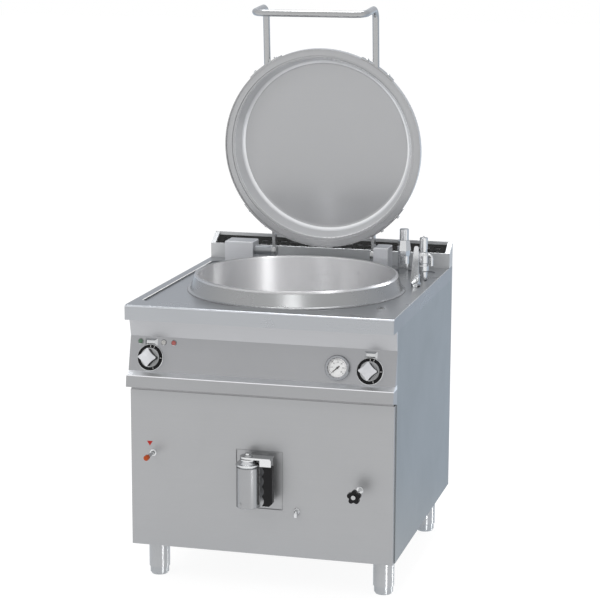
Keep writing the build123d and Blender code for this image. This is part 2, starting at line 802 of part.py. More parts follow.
def make_element_flange():
    """Bolted flange on the stub, with the terminal cover."""
    y1 = element_y + element_flange_t
    flange = rod_y(pan_x, element_z, element_y, y1, element_flange_r)
    cover = rod_y(pan_x, element_z, y1, y1 + element_cover_h, element_cover_r)
    rear = cover.edges().filter_by(GeomType.CIRCLE).sort_by(Axis.Y)[-1]
    cover = fillet(rear, 6)
    bolt_ring = (element_flange_r + element_cover_r) / 2
    bolts = []
    for i in range(6):
        a = math.radians(60 * i)
        bolts.append(rod_y(pan_x + bolt_ring * math.cos(a), element_z + bolt_ring * math.sin(a),
                           y1 - 1, y1 + 4, 3.5))
    return flange + cover + bolts


def make_drain_pipe():
    """Pipe from the sump down through the jacket and forward to the tap."""
    path = [(tap_x, drain_y, sump_z - pan_sheet), (tap_x, drain_y, tap_inlet_z),
            (tap_x, tap_inlet_y, tap_inlet_z)]
    return pipe(path, pipe_bend, pipe_r, pipe_wall)


def make_strainer():
    """Perforated lift-out cup over the drain, with a small lifting knob."""
    t = strainer_sheet
    z0 = sump_z + seat_gap
    z1 = z0 + strainer_h
    cup = rod(tap_x, drain_y, z0, z1, strainer_r) - rod(tap_x, drain_y, z0 - 1, z1 - t, strainer_r - t)
    holes = [rod(tap_x + ring * math.cos(a), drain_y + ring * math.sin(a), z1 - 5, z1 + 1,
                 strainer_hole_r)
             for ring, count in ((14, 8), (24, 14))
             for a in (2 * math.pi * i / count for i in range(count))]
    knob = rod(tap_x, drain_y, z1, z1 + 10, 3) + Pos(tap_x, drain_y, z1 + 13) * Sphere(6)
    return cup - holes + knob


def steam_pipe_body(x, y, r, wall):
    """Pipe from a fitting on the worktop down and across to the jacket's wall."""
    away = Vector(x - pan_x, y - pan_y, 0).normalized()
    end = Vector(pan_x, pan_y, steam_pipe_z) + away * (jacket_outer_r + fit_gap)
    path = [(x, y, floor_z), (x, y, steam_pipe_z), (end.X, end.Y, steam_pipe_z)]
    return pipe(path, min(steam_pipe_bend, (Vector(x, y, steam_pipe_z) - end).length - 2), r, wall)


def make_steam_pipes():
    """Pipes from the safety group to the jacket."""
    return [steam_pipe_body(x, y, steam_pipe_r, pipe_wall) for x, y in fitting_places]


# ---------------------------------------------------------------- lid, drawn closed
def make_lid_shell():
    """Outer pressing of the lid: skirt, shoulder and flat crown."""
    top = liner_z + lid_sheet + lid_core + lid_sheet
    points = [(lid_r, lid_rim_z), (lid_r, lid_rim_z + lid_skirt), (lid_top_r + 8, lid_rim_z + lid_skirt + 4),
              (lid_top_r, top), (0, top + 2)]
    shell = pressed(points, [5.0, 6.0, 14.0], lid_sheet, Side.LEFT)
    inner = lid_r - lid_hem
    hem = [(inner, lid_rim_z), (lid_r, lid_rim_z), (lid_r, lid_rim_z + lid_hem), (inner, lid_rim_z + lid_hem)]
    return shell + spun(hem, pan_x, pan_y)


def make_lid_liner():
    """Inner pressing: flat ring over the pan's rim, raised ring, curved wall and flat disc."""
    ring_z = rim_z + lid_seat
    r0 = lid_r - lid_sheet - fit_gap
    r1 = lid_r - lid_rim_w
    r2 = r1 - lid_ring_w
    points = [(r0, ring_z), (r1, ring_z), (r1 - 1, ring_z + lid_ring_h), (r2, ring_z + lid_ring_h),
              (lid_disc_r, liner_z), (0, liner_z)]
    return pressed(points, [0.8, 0.8, 5.0, 16.0], lid_sheet, Side.RIGHT)


def skirt_plate(side, a0, a1, z0, z1, thickness):
    """Curved plate on the skirt between two angles from the side."""
    r0 = lid_r + fit_gap
    ring = spun([(r0, z0), (r0 + thickness, z0), (r0 + thickness, z1), (r0, z1)], pan_x, pan_y)
    p0 = skirt_point(side, a0, 2 * lid_r)
    p1 = skirt_point(side, a1, 2 * lid_r)
    wedge = make_face(Polyline((pan_x, pan_y), p0, p1, close=True))
    return ring & (Pos(0, 0, z0) * extrude(wedge, z1 - z0))


def make_arm(side):
    """Hinge arm: eye, bar and the curved plate that lies on the skirt."""
    z0 = lid_rim_z + 1
    z1 = lid_rim_z + lid_skirt - 2
    x = pan_x + side * arm_offset
    plate = skirt_plate(side, arm_plate_from, arm_plate_to, z0, z1, arm_plate_t)
    y0 = pan_y + math.sqrt(lid_r ** 2 - arm_offset ** 2) - arm_t
    bar = block(x - arm_t / 2, x + arm_t / 2, y0, hinge_y, z0, z1)
    bar -= rod(pan_x, pan_y, z0 - 1, z1 + 1, lid_r + fit_gap)
    eye = rod_x(hinge_y, hinge_z, x - arm_t / 2, x + arm_t / 2, arm_eye_r)
    collar = rod_x(hinge_y, hinge_z, x - arm_t / 2 - 3 * (side > 0), x + arm_t / 2 + 3 * (side < 0),
                   arm_eye_r - 3)
    return plate + bar + eye + collar


def make_handle():
    """Bent grip bar on two small curved plates."""
    z = lid_rim_z + lid_skirt / 2
    post_x = handle_half
    skirt_y = pan_y - math.sqrt((lid_r + fit_gap) ** 2 - handle_half ** 2)
    y1 = pan_y - lid_r - handle_reach + (pan_y - math.sqrt(lid_r ** 2 - handle_half ** 2) - pan_y + lid_r)
    z1 = z - handle_drop
    left = pan_x - post_x
    right = pan_x + post_x
    path = [(left, skirt_y + 4, z), (left, y1, z), (left, y1, z1), (right, y1, z1), (right, y1, z),
            (right, skirt_y + 4, z)]
    bar = pipe(path, handle_bend, handle_r, 0)
    bar -= rod(pan_x, pan_y, z - 30, z + 30, lid_r + fit_gap)
    for side in (-1, 1):
        bar += skirt_plate(side, -handle_plate_to, -handle_plate_from, lid_rim_z + 2,
                           lid_rim_z + lid_skirt - 2, arm_plate_t)
    return bar


def lid_bolt(side, angle):
    """Domed bolt through a curved plate into the skirt."""
    a = math.radians(angle)
    seat = lid_r + fit_gap + arm_plate_t
    head = spun([(0, 0), (bolt_head_r, 0), (bolt_head_r, bolt_head_h * 0.6), (bolt_head_r * 0.6, bolt_head_h),
                 (0, bolt_head_h)], 0, 0)
    place = Plane(origin=(pan_x + side * seat * math.cos(a), pan_y + seat * math.sin(a),
                          lid_rim_z + lid_skirt / 2),
                  z_dir=(side * math.cos(a), math.sin(a), 0))
    return place * head


def make_lid_bolts():
    """Bolts of the arms' plates and of the handle's plates."""
    angles = list(arm_bolt_angles) + [-a for a in handle_bolt_angles]
    return [lid_bolt(side, angle) for side in (-1, 1) for angle in angles]


def make_pivot_left():
    """Tube and spindle that turn with the left arm."""
    x1 = arm_left_x - arm_t / 2
    tube = rod_x(hinge_y, hinge_z, box_left_x + box_gap, x1, pivot_tube_r)
    return tube + rod_x(hinge_y, hinge_z, box_left_x - box_left_w + 4, box_left_x + box_gap, pivot_pin_r)


def make_pivot_right():
    """Short spindle of the right arm."""
    x0 = arm_right_x + arm_t / 2
    return rod_x(hinge_y, hinge_z, x0, box_right_x + box_right_w - 4, pivot_pin_r)


# ---------------------------------------------------------------- hinge housings
def hinge_box(x0, x1, hole_side):
    """Housing on the worktop, open below, with a hole for the spindle in one side."""
    outer = block(x0, x1, box_front_y, box_back_y, floor_z, box_top_z)
    outer = fillet(outer.faces().sort_by(Axis.Z)[-1].edges(), box_fillet)
    t = box_sheet
    inner = block(x0 + t, x1 - t, box_front_y + t, box_back_y - t, floor_z - 1, box_top_z - t)
    inner = fillet(inner.faces().sort_by(Axis.Z)[-1].edges(), box_fillet - t)
    wall_x = x1 if hole_side > 0 else x0
    return outer - inner - rod_x(hinge_y, hinge_z, wall_x - 3, wall_x + 3, pivot_pin_r + 0.5)


def bearing_block(x0):
    """Bearing block of a spindle, standing on the worktop."""
    half = block_half
    body = block(x0, x0 + block_w, hinge_y - half, hinge_y + half, floor_z, hinge_z)
    body += rod_x(hinge_y, hinge_z, x0, x0 + block_w, half)
    return body - rod_x(hinge_y, hinge_z, x0 - 1, x0 + block_w + 1, pivot_pin_r + run_clear)


def make_bearings():
    """Two blocks in the left housing and one in the right."""
    inset = box_sheet + fit_gap
    return [bearing_block(box_left_x - inset - block_w),
            bearing_block(box_left_x - box_left_w + inset + 2),
            bearing_block(box_right_x + inset)]


def make_balance_spring():
    """Coil round the left spindle that carries part of the lid's weight."""
    coil_r = pivot_pin_r + spring_clear + spring_wire_r
    length = spring_turns * spring_pitch
    x0 = box_left_x - box_left_w / 2 - length / 2
    helix = Helix(spring_pitch, length, coil_r)
    wire = sweep(Plane(helix @ 0, z_dir=helix % 0) * Circle(spring_wire_r), helix)
    coil = Pos(x0, hinge_y, hinge_z) * Rot(0, 90, 0) * wire
    leg = rod(x0, hinge_y, floor_z, hinge_z - coil_r + 0.5, spring_wire_r * 0.9)
    return coil + leg


# ---------------------------------------------------------------- drain tap
def make_barrel():
    """Tap body: barrel with the plug's bore, open spout below and the neck to the pipe."""
    r = barrel_r
    points = [(0, barrel_bottom_z), (r - 1.5, barrel_bottom_z), (r, barrel_bottom_z + 1.5),
              (r, barrel_top_z - 1.5), (r - 1, barrel_top_z), (0, barrel_top_z)]
    body = spun(points, tap_x, tap_y)
    body += rod_y(tap_x, tap_inlet_z, tap_y, tap_inlet_y, pipe_r)
    nut_y = door_front_y - 3.0
    body += rod_y(tap_x, tap_inlet_z, tap_y, nut_y, pipe_r + 4)
    body -= rod(tap_x, tap_y, barrel_bottom_z - 1, plug_bottom_z, barrel_bore_r)
    body -= rod(tap_x, tap_y, plug_bottom_z, barrel_top_z + 1, plug_r + run_clear)
    body -= rod_y(tap_x, tap_inlet_z, tap_y, tap_inlet_y + 1, port_r)
    screw = rod_y(tap_x - 16, barrel_bottom_z + 14, tap_y - r + 1, tap_y - r + 6, 3.5)
    return body + screw


def make_bonnet():
    """Flared ring and cone that close the tap's body round the stem."""
    r = barrel_r
    z = barrel_top_z + fit_gap
    points = [(stem_r + run_clear, z), (r - 2, z), (r + 1, z + 5), (r + 1, z + 9), (r - 3, z + 12),
              (lever_r, barrel_neck_z - 4), (lever_r, barrel_neck_z), (stem_r + run_clear, barrel_neck_z)]
    return spun(points, tap_x, tap_y)


def make_plug():
    """Quarter-turn plug: open below, one side port, and the stem up to the lever."""
    plug = rod(tap_x, tap_y, plug_bottom_z + seat_gap, plug_top_z, plug_r)
    plug += rod(tap_x, tap_y, plug_top_z, lever_z, stem_r)
    plug -= rod(tap_x, tap_y, plug_bottom_z - 1, tap_inlet_z + port_r, port_r)
    return plug - rod_x(tap_y, tap_inlet_z, tap_x - plug_r - 1, tap_x, port_r - 1)


def make_tap_lever():
    """Lever plate round at the stem, with the bent-down box that holds the grip."""
    z0 = lever_z
    z1 = lever_z + lever_t
    plate = rod(tap_x, tap_y, z0, z1, lever_r)
    plate += block(tap_x, tap_x + lever_reach, tap_y - lever_r, tap_y + lever_r, z0, z1)
    plate = fillet(plate.edges().filter_by(Axis.Z).sort_by(Axis.X)[-2:], 3)
    x0 = tap_x + barrel_r + 1.5
    half = grip_t / 2
    tab = block(x0, x0 + lever_tab_w, tap_y - half - 1.5, tap_y + half + 1.5, z0 - lever_tab_h, z0)
    tab -= block(x0 - 1, x0 + lever_tab_w - 2, tap_y - half, tap_y + half, z0 - lever_tab_h - 1, z0 - 2)
    washer = rod(tap_x, tap_y, z1, z1 + 2, 13) + hex_rod(tap_x, tap_y, z1 + 2, z1 + 8, 10)
    return plate + tab + washer


def make_tap_grip():
    """Scalloped moulded grip that hangs from the lever's box."""
    x1 = tap_x + lever_reach + 2.5
    x0 = x1 - grip_w
    z0 = grip_bottom_z
    z1 = lever_z - lever_tab_h - seat_gap
    chamfer = 9.0
    outline = make_face(Polyline((x0, z0), (x1 - chamfer, z0), (x1, z0 + chamfer), (x1, z1), (x0, z1),
                                 close=True))
    pitch = (z1 - z0) / grip_scallops
    scallop_r = pitch * 0.62
    for i in range(grip_scallops):
        outline -= Pos(x0 - scallop_r * 0.72, z0 + pitch * (i + 0.5)) * Circle(scallop_r)
    grip = extrude(Plane.XZ * outline, grip_t / 2, both=True)
    tongue_top = lever_z - 2 - fit_gap
    tongue = block(x0 + 8, x1 - 10, -grip_t / 2 + 1, grip_t / 2 - 1, z1 - 1, tongue_top)
    return Pos(0, tap_y, 0) * (fillet(grip.edges().filter_by(Axis.Y).sort_by(Axis.Z)[:1], 2) + tongue)


# ---------------------------------------------------------------- door fittings
def make_star_knob():
    """Five-lobed knob, its grey-capped middle and its spindle."""
    y0 = door_front_y - star_stem
    lobe_r = star_r * 0.37
    lobe_out = star_r - lobe_r
    lobes = Circle(star_r * 0.74)
    for i in range(star_lobes):
        a = math.radians(90 + 360 * i / star_lobes)
        lobes += Pos(lobe_out * math.cos(a), lobe_out * math.sin(a)) * Circle(lobe_r)
    body = extrude(lobes, star_t - 4)
    body = fillet(body.faces().sort_by(Axis.Z)[-1].edges(), 2)
    body += Cylinder(7, star_t, align=(Align.CENTER, Align.CENTER, Align.MIN))
    front = Plane(origin=(star_x, y0, star_z), x_dir=(1, 0, 0), z_dir=(0, -1, 0))
    return front * body


def make_star_spindle():
    """Spindle of the level valve, from inside the door to the star knob."""
    return rod_y(star_x, star_z, door_front_y - star_stem, door_front_y + valve_stem_in, valve_stem_r)


def make_level_valve():
    """Level valve behind the door, its rosette, and the pipe to the outlet nozzle."""
    y0 = door_front_y + panel_sheet
    pipe_y = y0 + valve_pipe_in
    body = rod_y(star_x, star_z, y0, y0 + valve_body_len, valve_body_r)
    body += rod_y(star_x, star_z, door_front_y - 4, y0, valve_stem_r + 0.9)
    body -= rod_y(star_x, star_z, door_front_y - 10, y0 + valve_stem_in + 2, valve_stem_r + run_clear)
    path = [(star_x, pipe_y, star_z - 10), (star_x, pipe_y, nozzle_z), (nozzle_x, pipe_y, nozzle_z),
            (nozzle_x, y0, nozzle_z)]
    spout_y = door_front_y - nozzle_out
    spout = [(nozzle_x, y0, nozzle_z), (nozzle_x, spout_y, nozzle_z),
             (nozzle_x, spout_y, nozzle_z - nozzle_drop)]
    return (body + pipe(path, valve_pipe_bend, nozzle_r, nozzle_wall)
            + pipe(spout, nozzle_bend, nozzle_r, nozzle_wall))


def make_rosettes():
    """Turned rings round the spindle, the nozzle and the push rod."""
    rings = []
    for x, z, bore, r in ((star_x, star_z, valve_stem_r + 1, 11), (nozzle_x, nozzle_z, nozzle_r + fit_gap, 9),
                          (stalk_x, stalk_z, stalk_r + 1, 11)):
        ring = rod_y(x, z, door_front_y - 4, door_front_y, r)
        front = ring.edges().filter_by(GeomType.CIRCLE).sort_by(Axis.Y)[0]
        rings.append(chamfer(front, 1.5) - rod_y(x, z, door_front_y - 5, door_front_y + 1, bore))
    return rings


def make_stalk_rod():
    """Push rod of the safety thermostat."""
    return rod_y(stalk_x, stalk_z, door_front_y - stalk_len, door_front_y + 20, stalk_r)


def make_stalk_tip():
    """Rounded red end of the push rod."""
    y1 = door_front_y - stalk_len
    tip = rod_y(stalk_x, stalk_z, y1 - stalk_tip_h, y1, stalk_tip_r)
    front = tip.edges().filter_by(GeomType.CIRCLE).sort_by(Axis.Y)[0]
    return fillet(front, 4)


def make_thermostat():
    """Safety thermostat behind the door, with the guide of the push rod."""
    y0 = door_front_y + panel_sheet
    case = block(stalk_x - thermostat_w / 2, stalk_x + thermostat_w / 2, y0, y0 + thermostat_d,
                 stalk_z - thermostat_h / 2, stalk_z + thermostat_h / 2)
    case = fillet(case.edges().filter_by(Axis.Y), 4)
    return case - rod_y(stalk_x, stalk_z, y0 - 1, y0 + 20 + stalk_travel, stalk_r + run_clear)


# ---------------------------------------------------------------- control fascia fittings
def make_bezels():
    """Dished rings under the knobs."""
    rings = []
    for x in (knob_left_x, knob_right_x):
        points = [(shaft_r + 0.5, 0), (bezel_r, 0), (bezel_r, bezel_h - 1), (bezel_r - 1, bezel_h),
                  (bezel_r - 2, bezel_h), (bezel_r - 2, bezel_floor), (shaft_r + 0.5, bezel_floor)]
        rings.append(on_fascia(x, knob_z) * spun(points, 0, 0))
    return rings


def grip_outline(half, hollow):
    """Four-cornered outline with hollow sides and rounded corners, one corner upwards."""
    side = half * math.sqrt(2)
    swell_r = (side * side / 4 + hollow * hollow) / (2 * hollow)
    away = half / math.sqrt(2) - hollow + swell_r
    shape = Rot(0, 0, 45) * Rectangle(side, side)
    for i in range(4):
        a = math.radians(45 + 90 * i)
        shape -= Pos(away * math.cos(a), away * math.sin(a)) * Circle(swell_r)
    return fillet(shape.vertices(), grip_corner)


def make_knob(x):
    """Dial disc, hollow-sided grip and shaft of a knob."""
    z0 = bezel_floor + dial_gap
    disc = Pos(0, 0, z0) * Cylinder(dial_r, dial_h, align=(Align.CENTER, Align.CENTER, Align.MIN))
    rim = disc.edges().filter_by(GeomType.CIRCLE).sort_by(Axis.Z)[-1]
    disc = chamfer(rim, 1)
    grip = Pos(0, 0, z0 + dial_h) * extrude(grip_outline(grip_half, grip_hollow), knob_h)
    shaft_len = z0 + fold_sheet + switch_h - switch_end - 1
    shaft = Pos(0, 0, z0) * Cylinder(shaft_r, shaft_len, align=(Align.CENTER, Align.CENTER, Align.MAX))
    return on_fascia(x, knob_z) * (disc + grip + shaft)


def make_knob_cap(x):
    """Bright cap on the grip's face."""
    z0 = bezel_floor + dial_gap + dial_h + knob_h
    outline = grip_outline(grip_half + 1.5, grip_hollow)
    cap = extrude(outline, cap_h)
    cap = chamfer(cap.faces().sort_by(Axis.Z)[-1].edges(), 0.8)
    return on_fascia(x, knob_z) * Pos(0, 0, z0) * cap


def make_switches():
    """Rotary switches behind the fascia."""
    below = (Align.CENTER, Align.CENTER, Align.MAX)
    bodies = []
    for x in (knob_left_x, knob_right_x):
        body = Pos(0, 0, -fold_sheet) * Box(switch_w, switch_w, switch_h, align=below)
        body = fillet(body.edges().filter_by(Axis.Z), 4)
        bore = Cylinder(shaft_r + run_clear, switch_h - switch_end, align=below)
        bodies.append(on_fascia(x, knob_z) * (body - Pos(0, 0, -fold_sheet) * bore))
    return bodies


def make_index_lugs():
    """Faceted index lugs above the dials, hollowed round the bezels."""
    lugs = []
    for x in (knob_left_x, knob_right_x):
        base = Pos(0, index_y + index_h / 2) * Rectangle(index_w, index_h)
        lug = extrude(base, index_t, taper=index_taper)
        lug -= Cylinder(bezel_r + fit_gap, 3 * index_t)
        lugs.append(on_fascia(x, knob_z) * lug)
    return lugs


def make_lamp_bezels():
    """Rings of the indicator lamps."""
    points = [(lamp_r + fit_gap, 0), (lamp_body_r, 0), (lamp_body_r - 0.5, 2), (lamp_r + fit_gap, 2.5)]
    return [on_fascia(x, lamp_z) * spun(points, 0, 0) for x in lamp_x]


def make_lamp(x):
    """Coloured lens with its body behind the fascia."""
    points = [(0, -lamp_body_h), (lamp_r - 1, -lamp_body_h), (lamp_r, -lamp_body_h + 1), (lamp_r, 3),
              (lamp_r - 2, 4.5), (0, 5)]
    return on_fascia(x, lamp_z) * spun(points, 0, 0)


def make_gauge_case():
    """Round case through the fascia with its front ring."""
    r = gauge_r
    w = gauge_wall
    points = [(0, -gauge_case_h), (r, -gauge_case_h), (r, 0), (gauge_ring_r, 0),
              (gauge_ring_r, gauge_ring_h - 2), (gauge_ring_r - 2, gauge_ring_h),
              (gauge_face_r + 1, gauge_ring_h), (gauge_face_r + fit_gap, gauge_ring_h - 1.5),
              (gauge_face_r + fit_gap, 0), (r - w, 0), (r - w, -gauge_case_h + w),
              (0, -gauge_case_h + w)]
    return on_fascia(gauge_x, gauge_z) * spun(points, 0, 0)


def make_gauge_face():
    """Dial plate, its column and the needle's fixed pivot bush."""
    points = [(0, -gauge_case_h + gauge_wall), (9, -gauge_case_h + gauge_wall), (9, gauge_face_z - 1),
              (gauge_face_r, gauge_face_z - 1), (gauge_face_r, gauge_face_z), (0, gauge_face_z)]
    plate = spun(points, 0, 0) - Cylinder(1 + run_clear, 16)
    return on_fascia(gauge_x, gauge_z) * plate


def make_gauge_needle():
    """Tapered needle with a short thick tail, on its spindle."""
    z0 = gauge_face_z + needle_z
    outline = make_face(Polyline((-needle_tail, -1.8), (0, -1.8), (needle_len, -0.4), (needle_len, 0.4),
                                 (0, 1.8), (-needle_tail, 1.8), close=True))
    outline += Circle(3.2)
    body = Pos(0, 0, z0) * extrude(Rot(0, 0, gauge_start) * outline, 0.8)
    spindle = Pos(0, 0, z0) * Cylinder(1, 8, align=(Align.CENTER, Align.CENTER, Align.MAX))
    return on_fascia(gauge_x, gauge_z) * (body + spindle)


def make_gauge_lens():
    """Clear window of the gauge."""
    lens = Pos(0, 0, gauge_lens_z) * Cylinder(gauge_face_r, gauge_lens_t,
                                              align=(Align.CENTER, Align.CENTER, Align.MIN))
    return on_fascia(gauge_x, gauge_z) * lens


# ---------------------------------------------------------------- safety group
def make_safety_valve():
    """Safety valve: block, body, nut, flared hexagon and the guide of the lifting cap."""
    half = safety_block / 2
    block_top = floor_z + 0.3 * safety_h
    nut_z = floor_z + 0.53 * safety_h
    flare_z = floor_z + 0.69 * safety_h
    body = block(safety_x - half, safety_x + half, safety_y - half, safety_y + half, floor_z, block_top)
    body = chamfer(body.edges().filter_by(Axis.Z), 4)
    body += rod(safety_x, safety_y, block_top, nut_z, 18.5)
    body += hex_rod(safety_x, safety_y, nut_z, flare_z, 19)
    lower = Pos(safety_x, safety_y, flare_z) * RegularPolygon(22.5, 6)
    upper = Pos(safety_x, safety_y, safety_top_z) * RegularPolygon(18, 6)
    body += loft([lower.face(), upper.face()])
    return body + rod(safety_x, safety_y, safety_top_z, safety_top_z + safety_cap_h - 8, safety_stem_r)


def make_safety_cap():
    """Knurled lifting cap of the safety valve."""
    z0 = safety_top_z + seat_gap
    z1 = z0 + safety_cap_h
    r = safety_cap_r
    points = [(safety_stem_r + run_clear, z0), (r, z0), (r, z1 - 2), (r - 2, z1), (0, z1), (0, z1 - 5),
              (safety_stem_r + run_clear, z1 - 5)]
    return spun(points, safety_x, safety_y)


def make_vent_valve():
    """Vacuum breaker: nipple, ringed body, side elbow and the spigot of its cap."""
    profile = [(13, 0), (13, 0.29), (17, 0.33), (17, 0.48), (15.5, 0.5), (15.5, 0.56), (17, 0.58),
               (17, 0.81), (15, 0.9), (11, 0.93), (11, 1)]
    spigot_z = vent_top_z + vent_cap_h - 8
    points = [(0, floor_z)] + [(r, floor_z + part * vent_h) for r, part in profile]
    points += [(vent_stem_r, vent_top_z), (vent_stem_r, spigot_z), (0, spigot_z)]
    body = spun(points, vent_x, vent_y)
    out_x = vent_x + vent_elbow_out
    elbow_z = floor_z + 0.81 * vent_h
    path = [(vent_x + 8, vent_y, elbow_z), (out_x, vent_y, elbow_z), (out_x, vent_y, elbow_z - vent_elbow_drop)]
    return body + pipe(path, 8, 6, 0)


def make_vent_cap():
    """Slotted cap of the vacuum breaker with its small pin."""
    z0 = vent_top_z + seat_gap
    z1 = z0 + vent_cap_h
    r = vent_cap_r
    points = [(vent_stem_r + run_clear, z0), (r, z0), (r, z1 - 1.5), (r - 1.5, z1), (0, z1), (0, z1 - 6),
              (vent_stem_r + run_clear, z1 - 6)]
    cap = spun(points, vent_x, vent_y)
    cap -= block(vent_x - r, vent_x + r, vent_y - 1, vent_y + 1, z1 - 3, z1 + 1)
    return cap + rod(vent_x, vent_y, z1 - 4, z1 + 5, 2)


def make_fill_cock():
    """Filling cock: hexagon foot, body with an open mouth, and the stem's boss in front."""
    z0 = floor_z + cock_hex_h
    z1 = floor_z + cock_h
    body = rod(cock_x, cock_y, z0, z1, cock_body_r)
    top = body.edges().filter_by(GeomType.CIRCLE).sort_by(Axis.Z)[-1]
    body = chamfer(top, 2) + hex_rod(cock_x, cock_y, floor_z, z0, cock_hex_r)
    body -= rod(cock_x, cock_y, z1 - cock_mouth_d, z1 + 1, cock_mouth_r)
    boss_y = cock_lever_y + cock_lever_t + seat_gap
    body += rod_y(cock_x, cock_stem_z, boss_y, cock_y - cock_body_r / 2, cock_boss_r)
    return body - rod_y(cock_x, cock_stem_z, boss_y - 1, cock_y - 1, cock_stem_r + run_clear)


def make_cock_lever():
    """Tapered flat lever of the filling cock, on its stem and held by a nut."""
    half = cock_lever_w / 2
    tip = cock_lever_tip_w / 2
    outline = make_face(Polyline((-half, 0), (cock_lever_lean - tip, cock_lever_len),
                                 (cock_lever_lean + tip, cock_lever_len), (half, 0), close=True))
    outline = fillet(outline.vertices().sort_by(Axis.Y)[-2:], tip * 0.8) + Circle(half)
    front = Plane(origin=(cock_x, cock_lever_y + cock_lever_t, cock_stem_z), x_dir=(1, 0, 0),
                  z_dir=(0, -1, 0))
    lever = front * (extrude(outline, cock_lever_t) + extrude(RegularPolygon(7, 6), cock_lever_t + 5))
    return lever + rod_y(cock_x, cock_stem_z, cock_lever_y - 7, cock_y - 2, cock_stem_r)


# ---------------------------------------------------------------- control box inside
def make_cabin():
    """Open-fronted control box on the left side panel."""
    x0 = -inner_x
    t = cabin_sheet
    outer = block(x0, x0 + cabin_w, cabin_front_y, cabin_back_y, cabin_bottom_z, cabin_top_z)
    return outer - block(x0 + t, x0 + cabin_w - t, cabin_front_y - 1, cabin_back_y - t,
                         cabin_bottom_z + t, cabin_top_z - t)


def make_contactors():
    """Contactors and a terminal block on the control box's rear wall."""
    x0 = -inner_x + 10
    y1 = cabin_back_y - cabin_sheet
    pieces = []
    for z in (cabin_bottom_z + 100, cabin_bottom_z + 160):
        pieces.append(block(x0, x0 + 54, y1 - 62, y1, z, z + 44) + block(x0 + 8, x0 + 46, y1 - 74, y1 - 62,
                                                                       z + 8, z + 36))
    terminals = block(x0, x0 + 54, y1 - 34, y1, cabin_bottom_z + 30, cabin_bottom_z + 64)
    for i in range(5):
        terminals -= rod(x0 + 7 + 10 * i, y1 - 24, cabin_bottom_z + 60, cabin_bottom_z + 66, 3)
    pieces.append(terminals)
    return pieces


# ---------------------------------------------------------------- all pieces
def make_nodes():
    """Every node by name: one shape, or a list of separate solids."""
    nodes = {
        "worktop": make_worktop(),
        "spill_drain": make_basin_drain(),
        "rear_upstand": make_upstand(),
        "vent_grille": make_grille(),
        "side_panels": [make_side_panel(-1), make_side_panel(1)],
        "back_panel": make_back_panel(),
        "front_door": make_door(),
        "tap_recess_plate": make_recess_plate(),
        "control_fascia": make_control_fascia(),
        "trim_rail": make_trim_rail(),
        "chassis_frame": make_base_frame() + make_upper_frame(),
        "base_tray": [make_base_tray(), make_cable_gland()],
        "leg_tubes": [make_leg(x, y) for _, x, y in leg_places()],
        "kettle_pan": make_pan(),
        "pan_collar": make_collar(),
        "steam_jacket": make_jacket(),
        "jacket_insulation": make_insulation(),
        "heating_elements": make_elements() + [make_element_flange()],
        "pipework": make_steam_pipes() + [make_drain_pipe()],
        "drain_strainer": make_strainer(),
        "lid_shell": raised(make_lid_shell()),
        "lid_liner": raised(make_lid_liner()),
        "lid_handle": raised(make_handle()),
        "lid_arms": [raised(make_arm(side)) for side in (-1, 1)],
        "lid_bolts": [raised(bolt) for bolt in make_lid_bolts()],
        "lid_pivots": [make_pivot_left(), make_pivot_right()],
        "hinge_boxes": [hinge_box(box_left_x - box_left_w, box_left_x, 1),
                        hinge_box(box_right_x, box_right_x + box_right_w, -1)],
        "hinge_bearings": make_bearings(),
        "balance_spring": make_balance_spring(),
        "tap_body": make_barrel(),
        "tap_bonnet": make_bonnet(),
        "tap_plug": make_plug(),
        "tap_lever": make_tap_lever(),
        "tap_grip": make_tap_grip(),
        "star_knob": make_star_knob(),
        "star_spindle": make_star_spindle(),
        "level_valve": make_level_valve(),
        "trim_rings": make_bezels() + make_lamp_bezels() + make_rosettes(),
        "reset_rod": [make_stalk_rod(), make_stalk_tip()],
        "reset_thermostat": make_thermostat(),
        "rotary_switches": make_switches(),
        "index_lugs": make_index_lugs(),
        "lamps": [make_lamp(x) for x in lamp_x],
        "gauge_case": make_gauge_case(),
        "gauge_face": make_gauge_face(),
        "gauge_needle": make_gauge_needle(),
        "gauge_lens": make_gauge_lens(),
        "safety_valve": make_safety_valve(),
        "safety_cap": make_safety_cap(),
        "vent_valve": make_vent_valve(),
        "vent_cap": make_vent_cap(),
        "fill_cock": make_fill_cock(),
        "cock_lever": make_cock_lever(),
        "control_box": [make_cabin()] + make_contactors(),
        "knob_left": [make_knob(knob_left_x), make_knob_cap(knob_left_x)],
        "knob_right": [make_knob(knob_right_x), make_knob_cap(knob_right_x)],
    }
    for name, x, y in leg_places():
        nodes["foot_" + name] = make_foot(x, y)
    return nodes


def solids_of(shape):
    """Separate solids of a shape or of a list of shapes."""
    if isinstance(shape, (list, tuple)):
        return [solid for piece in shape for solid in solids_of(piece)]
    return list(shape.solids())


def main():
    """Write every node's STEP file in the common frame."""
    os.makedirs("parts", exist_ok=True)
    for name, shape in make_nodes().items():
        moved = [Pos(0, -origin_y, 0) * solid for solid in solids_of(shape)]
        whole = moved[0] if len(moved) == 1 else Compound(children=moved)
        whole.label = name
        export_step(whole, f"parts/{name}.step")


main()
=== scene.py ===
# %% [markdown]
# # A jacketed boiling kettle on its cabinet
# The imported model brings every metal piece in metres, each already at its place. This lesson
# dresses it: brushed and satin steel, chrome fittings, black moulded knobs, a gauge and lamps.
# It also adds the small printed marks that a maker leaves, painted shade in the collar's crease and
# in the gap over the door and painted highlights on two folds of the worktop, then the studio, the
# lamps and the camera.

# %% Load the frame
import bpy
import json
import math
from mathutils import Matrix, Vector


